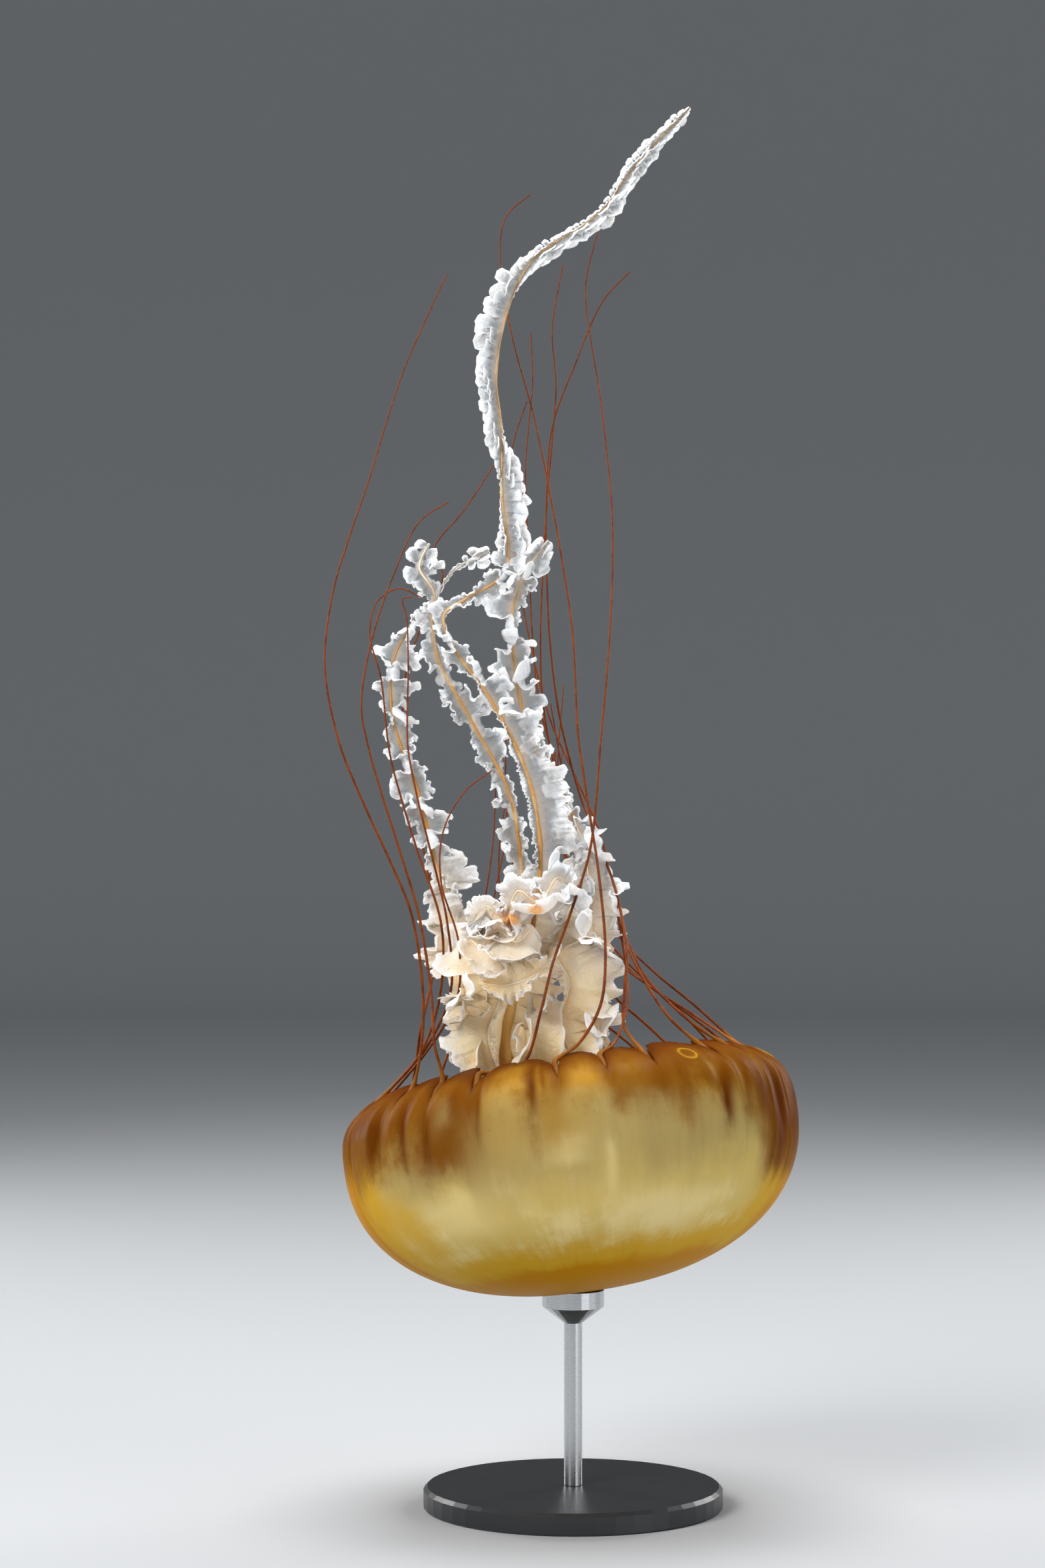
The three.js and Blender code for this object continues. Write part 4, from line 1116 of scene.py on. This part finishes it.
thread_tree, thread_material = tentacle_tree(), thread_skin()
for number in sorted({node.split("_")[1] for node in nodes_of("tentacle_")}):
    nodes = nodes_of(f"tentacle_{number}_")
    lengths = [ring_centres(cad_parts[node]) for node in nodes]
    course = lengths[0]
    for length in lengths[1:]:
        nearer_end_first = np.linalg.norm(length[0] - course[-1]) < np.linalg.norm(length[-1] - course[-1])
        course = course[:-1] + (length if nearer_end_first else length[::-1])
    onward = (course[1] - course[0]) / np.linalg.norm(course[1] - course[0])
    places = smooth_run([course[0] - onward * ROOT_DEPTH] + course, COURSE_STEPS)
    gone = distance_gone(places)
    even = np.arange(0, gone[-1], THREAD_STEP)
    places = np.stack([np.interp(even, gone, places[:, axis]) for axis in range(3)], axis=1)
    body = THREAD_RADIUS + (THREAD_TIP - THREAD_RADIUS) * even / even[-1]
    root = np.interp(even, *zip(*ROOT_SHAPE))
    values = {"gone": even - ROOT_DEPTH, "thick": np.maximum(root, body * np.clip(even / 0.002, 0.7, 1))}
    mesh = grow(f"tentacle_{number}_skin", line_mesh("thread line", places, values), thread_tree,
                {"Skin": thread_material})
    show(f"tentacle_{number}_skin", mesh, nodes)


# ---- Display stand ------------------------------------
# A turned base in satin black paint and a turned steel rod that opens into a cup under the bell.

STAND_BLACK = (0.018, 0.019, 0.021, 1)
STAND_STEEL = (0.55, 0.56, 0.57, 1)


def satin_paint():
    material, tree = new_material("satin black paint")
    place = object_place(tree)
    orange_peel = noise(place, 900.0, 2.0, 0.5)
    return set_finish(material, {
        "Base Color": STAND_BLACK,
        "Roughness": 0.34 + noise(place, 40.0, 3.0, 0.6) * 0.05,
        "Normal": bump(orange_peel, 0.00006, 0.4),
    })


def turned_steel():
    material, tree = new_material("turned steel")
    x, y, z = separate(object_place(tree))
    grooves = noise(combine(x * 4.0, y * 4.0, z * 3000.0), 1.0, 2.0, 0.6)
    return set_finish(material, {
        "Base Color": STAND_STEEL,
        "Metallic": 1.0,
        "Roughness": 0.28 + grooves * 0.08,
        "Normal": bump(grooves, 0.00003, 0.3),
    })


for name, material in (("stand_base", satin_paint()), ("stand_rod", turned_steel())):
    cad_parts[name].data.materials.clear()
    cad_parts[name].data.materials.append(material)
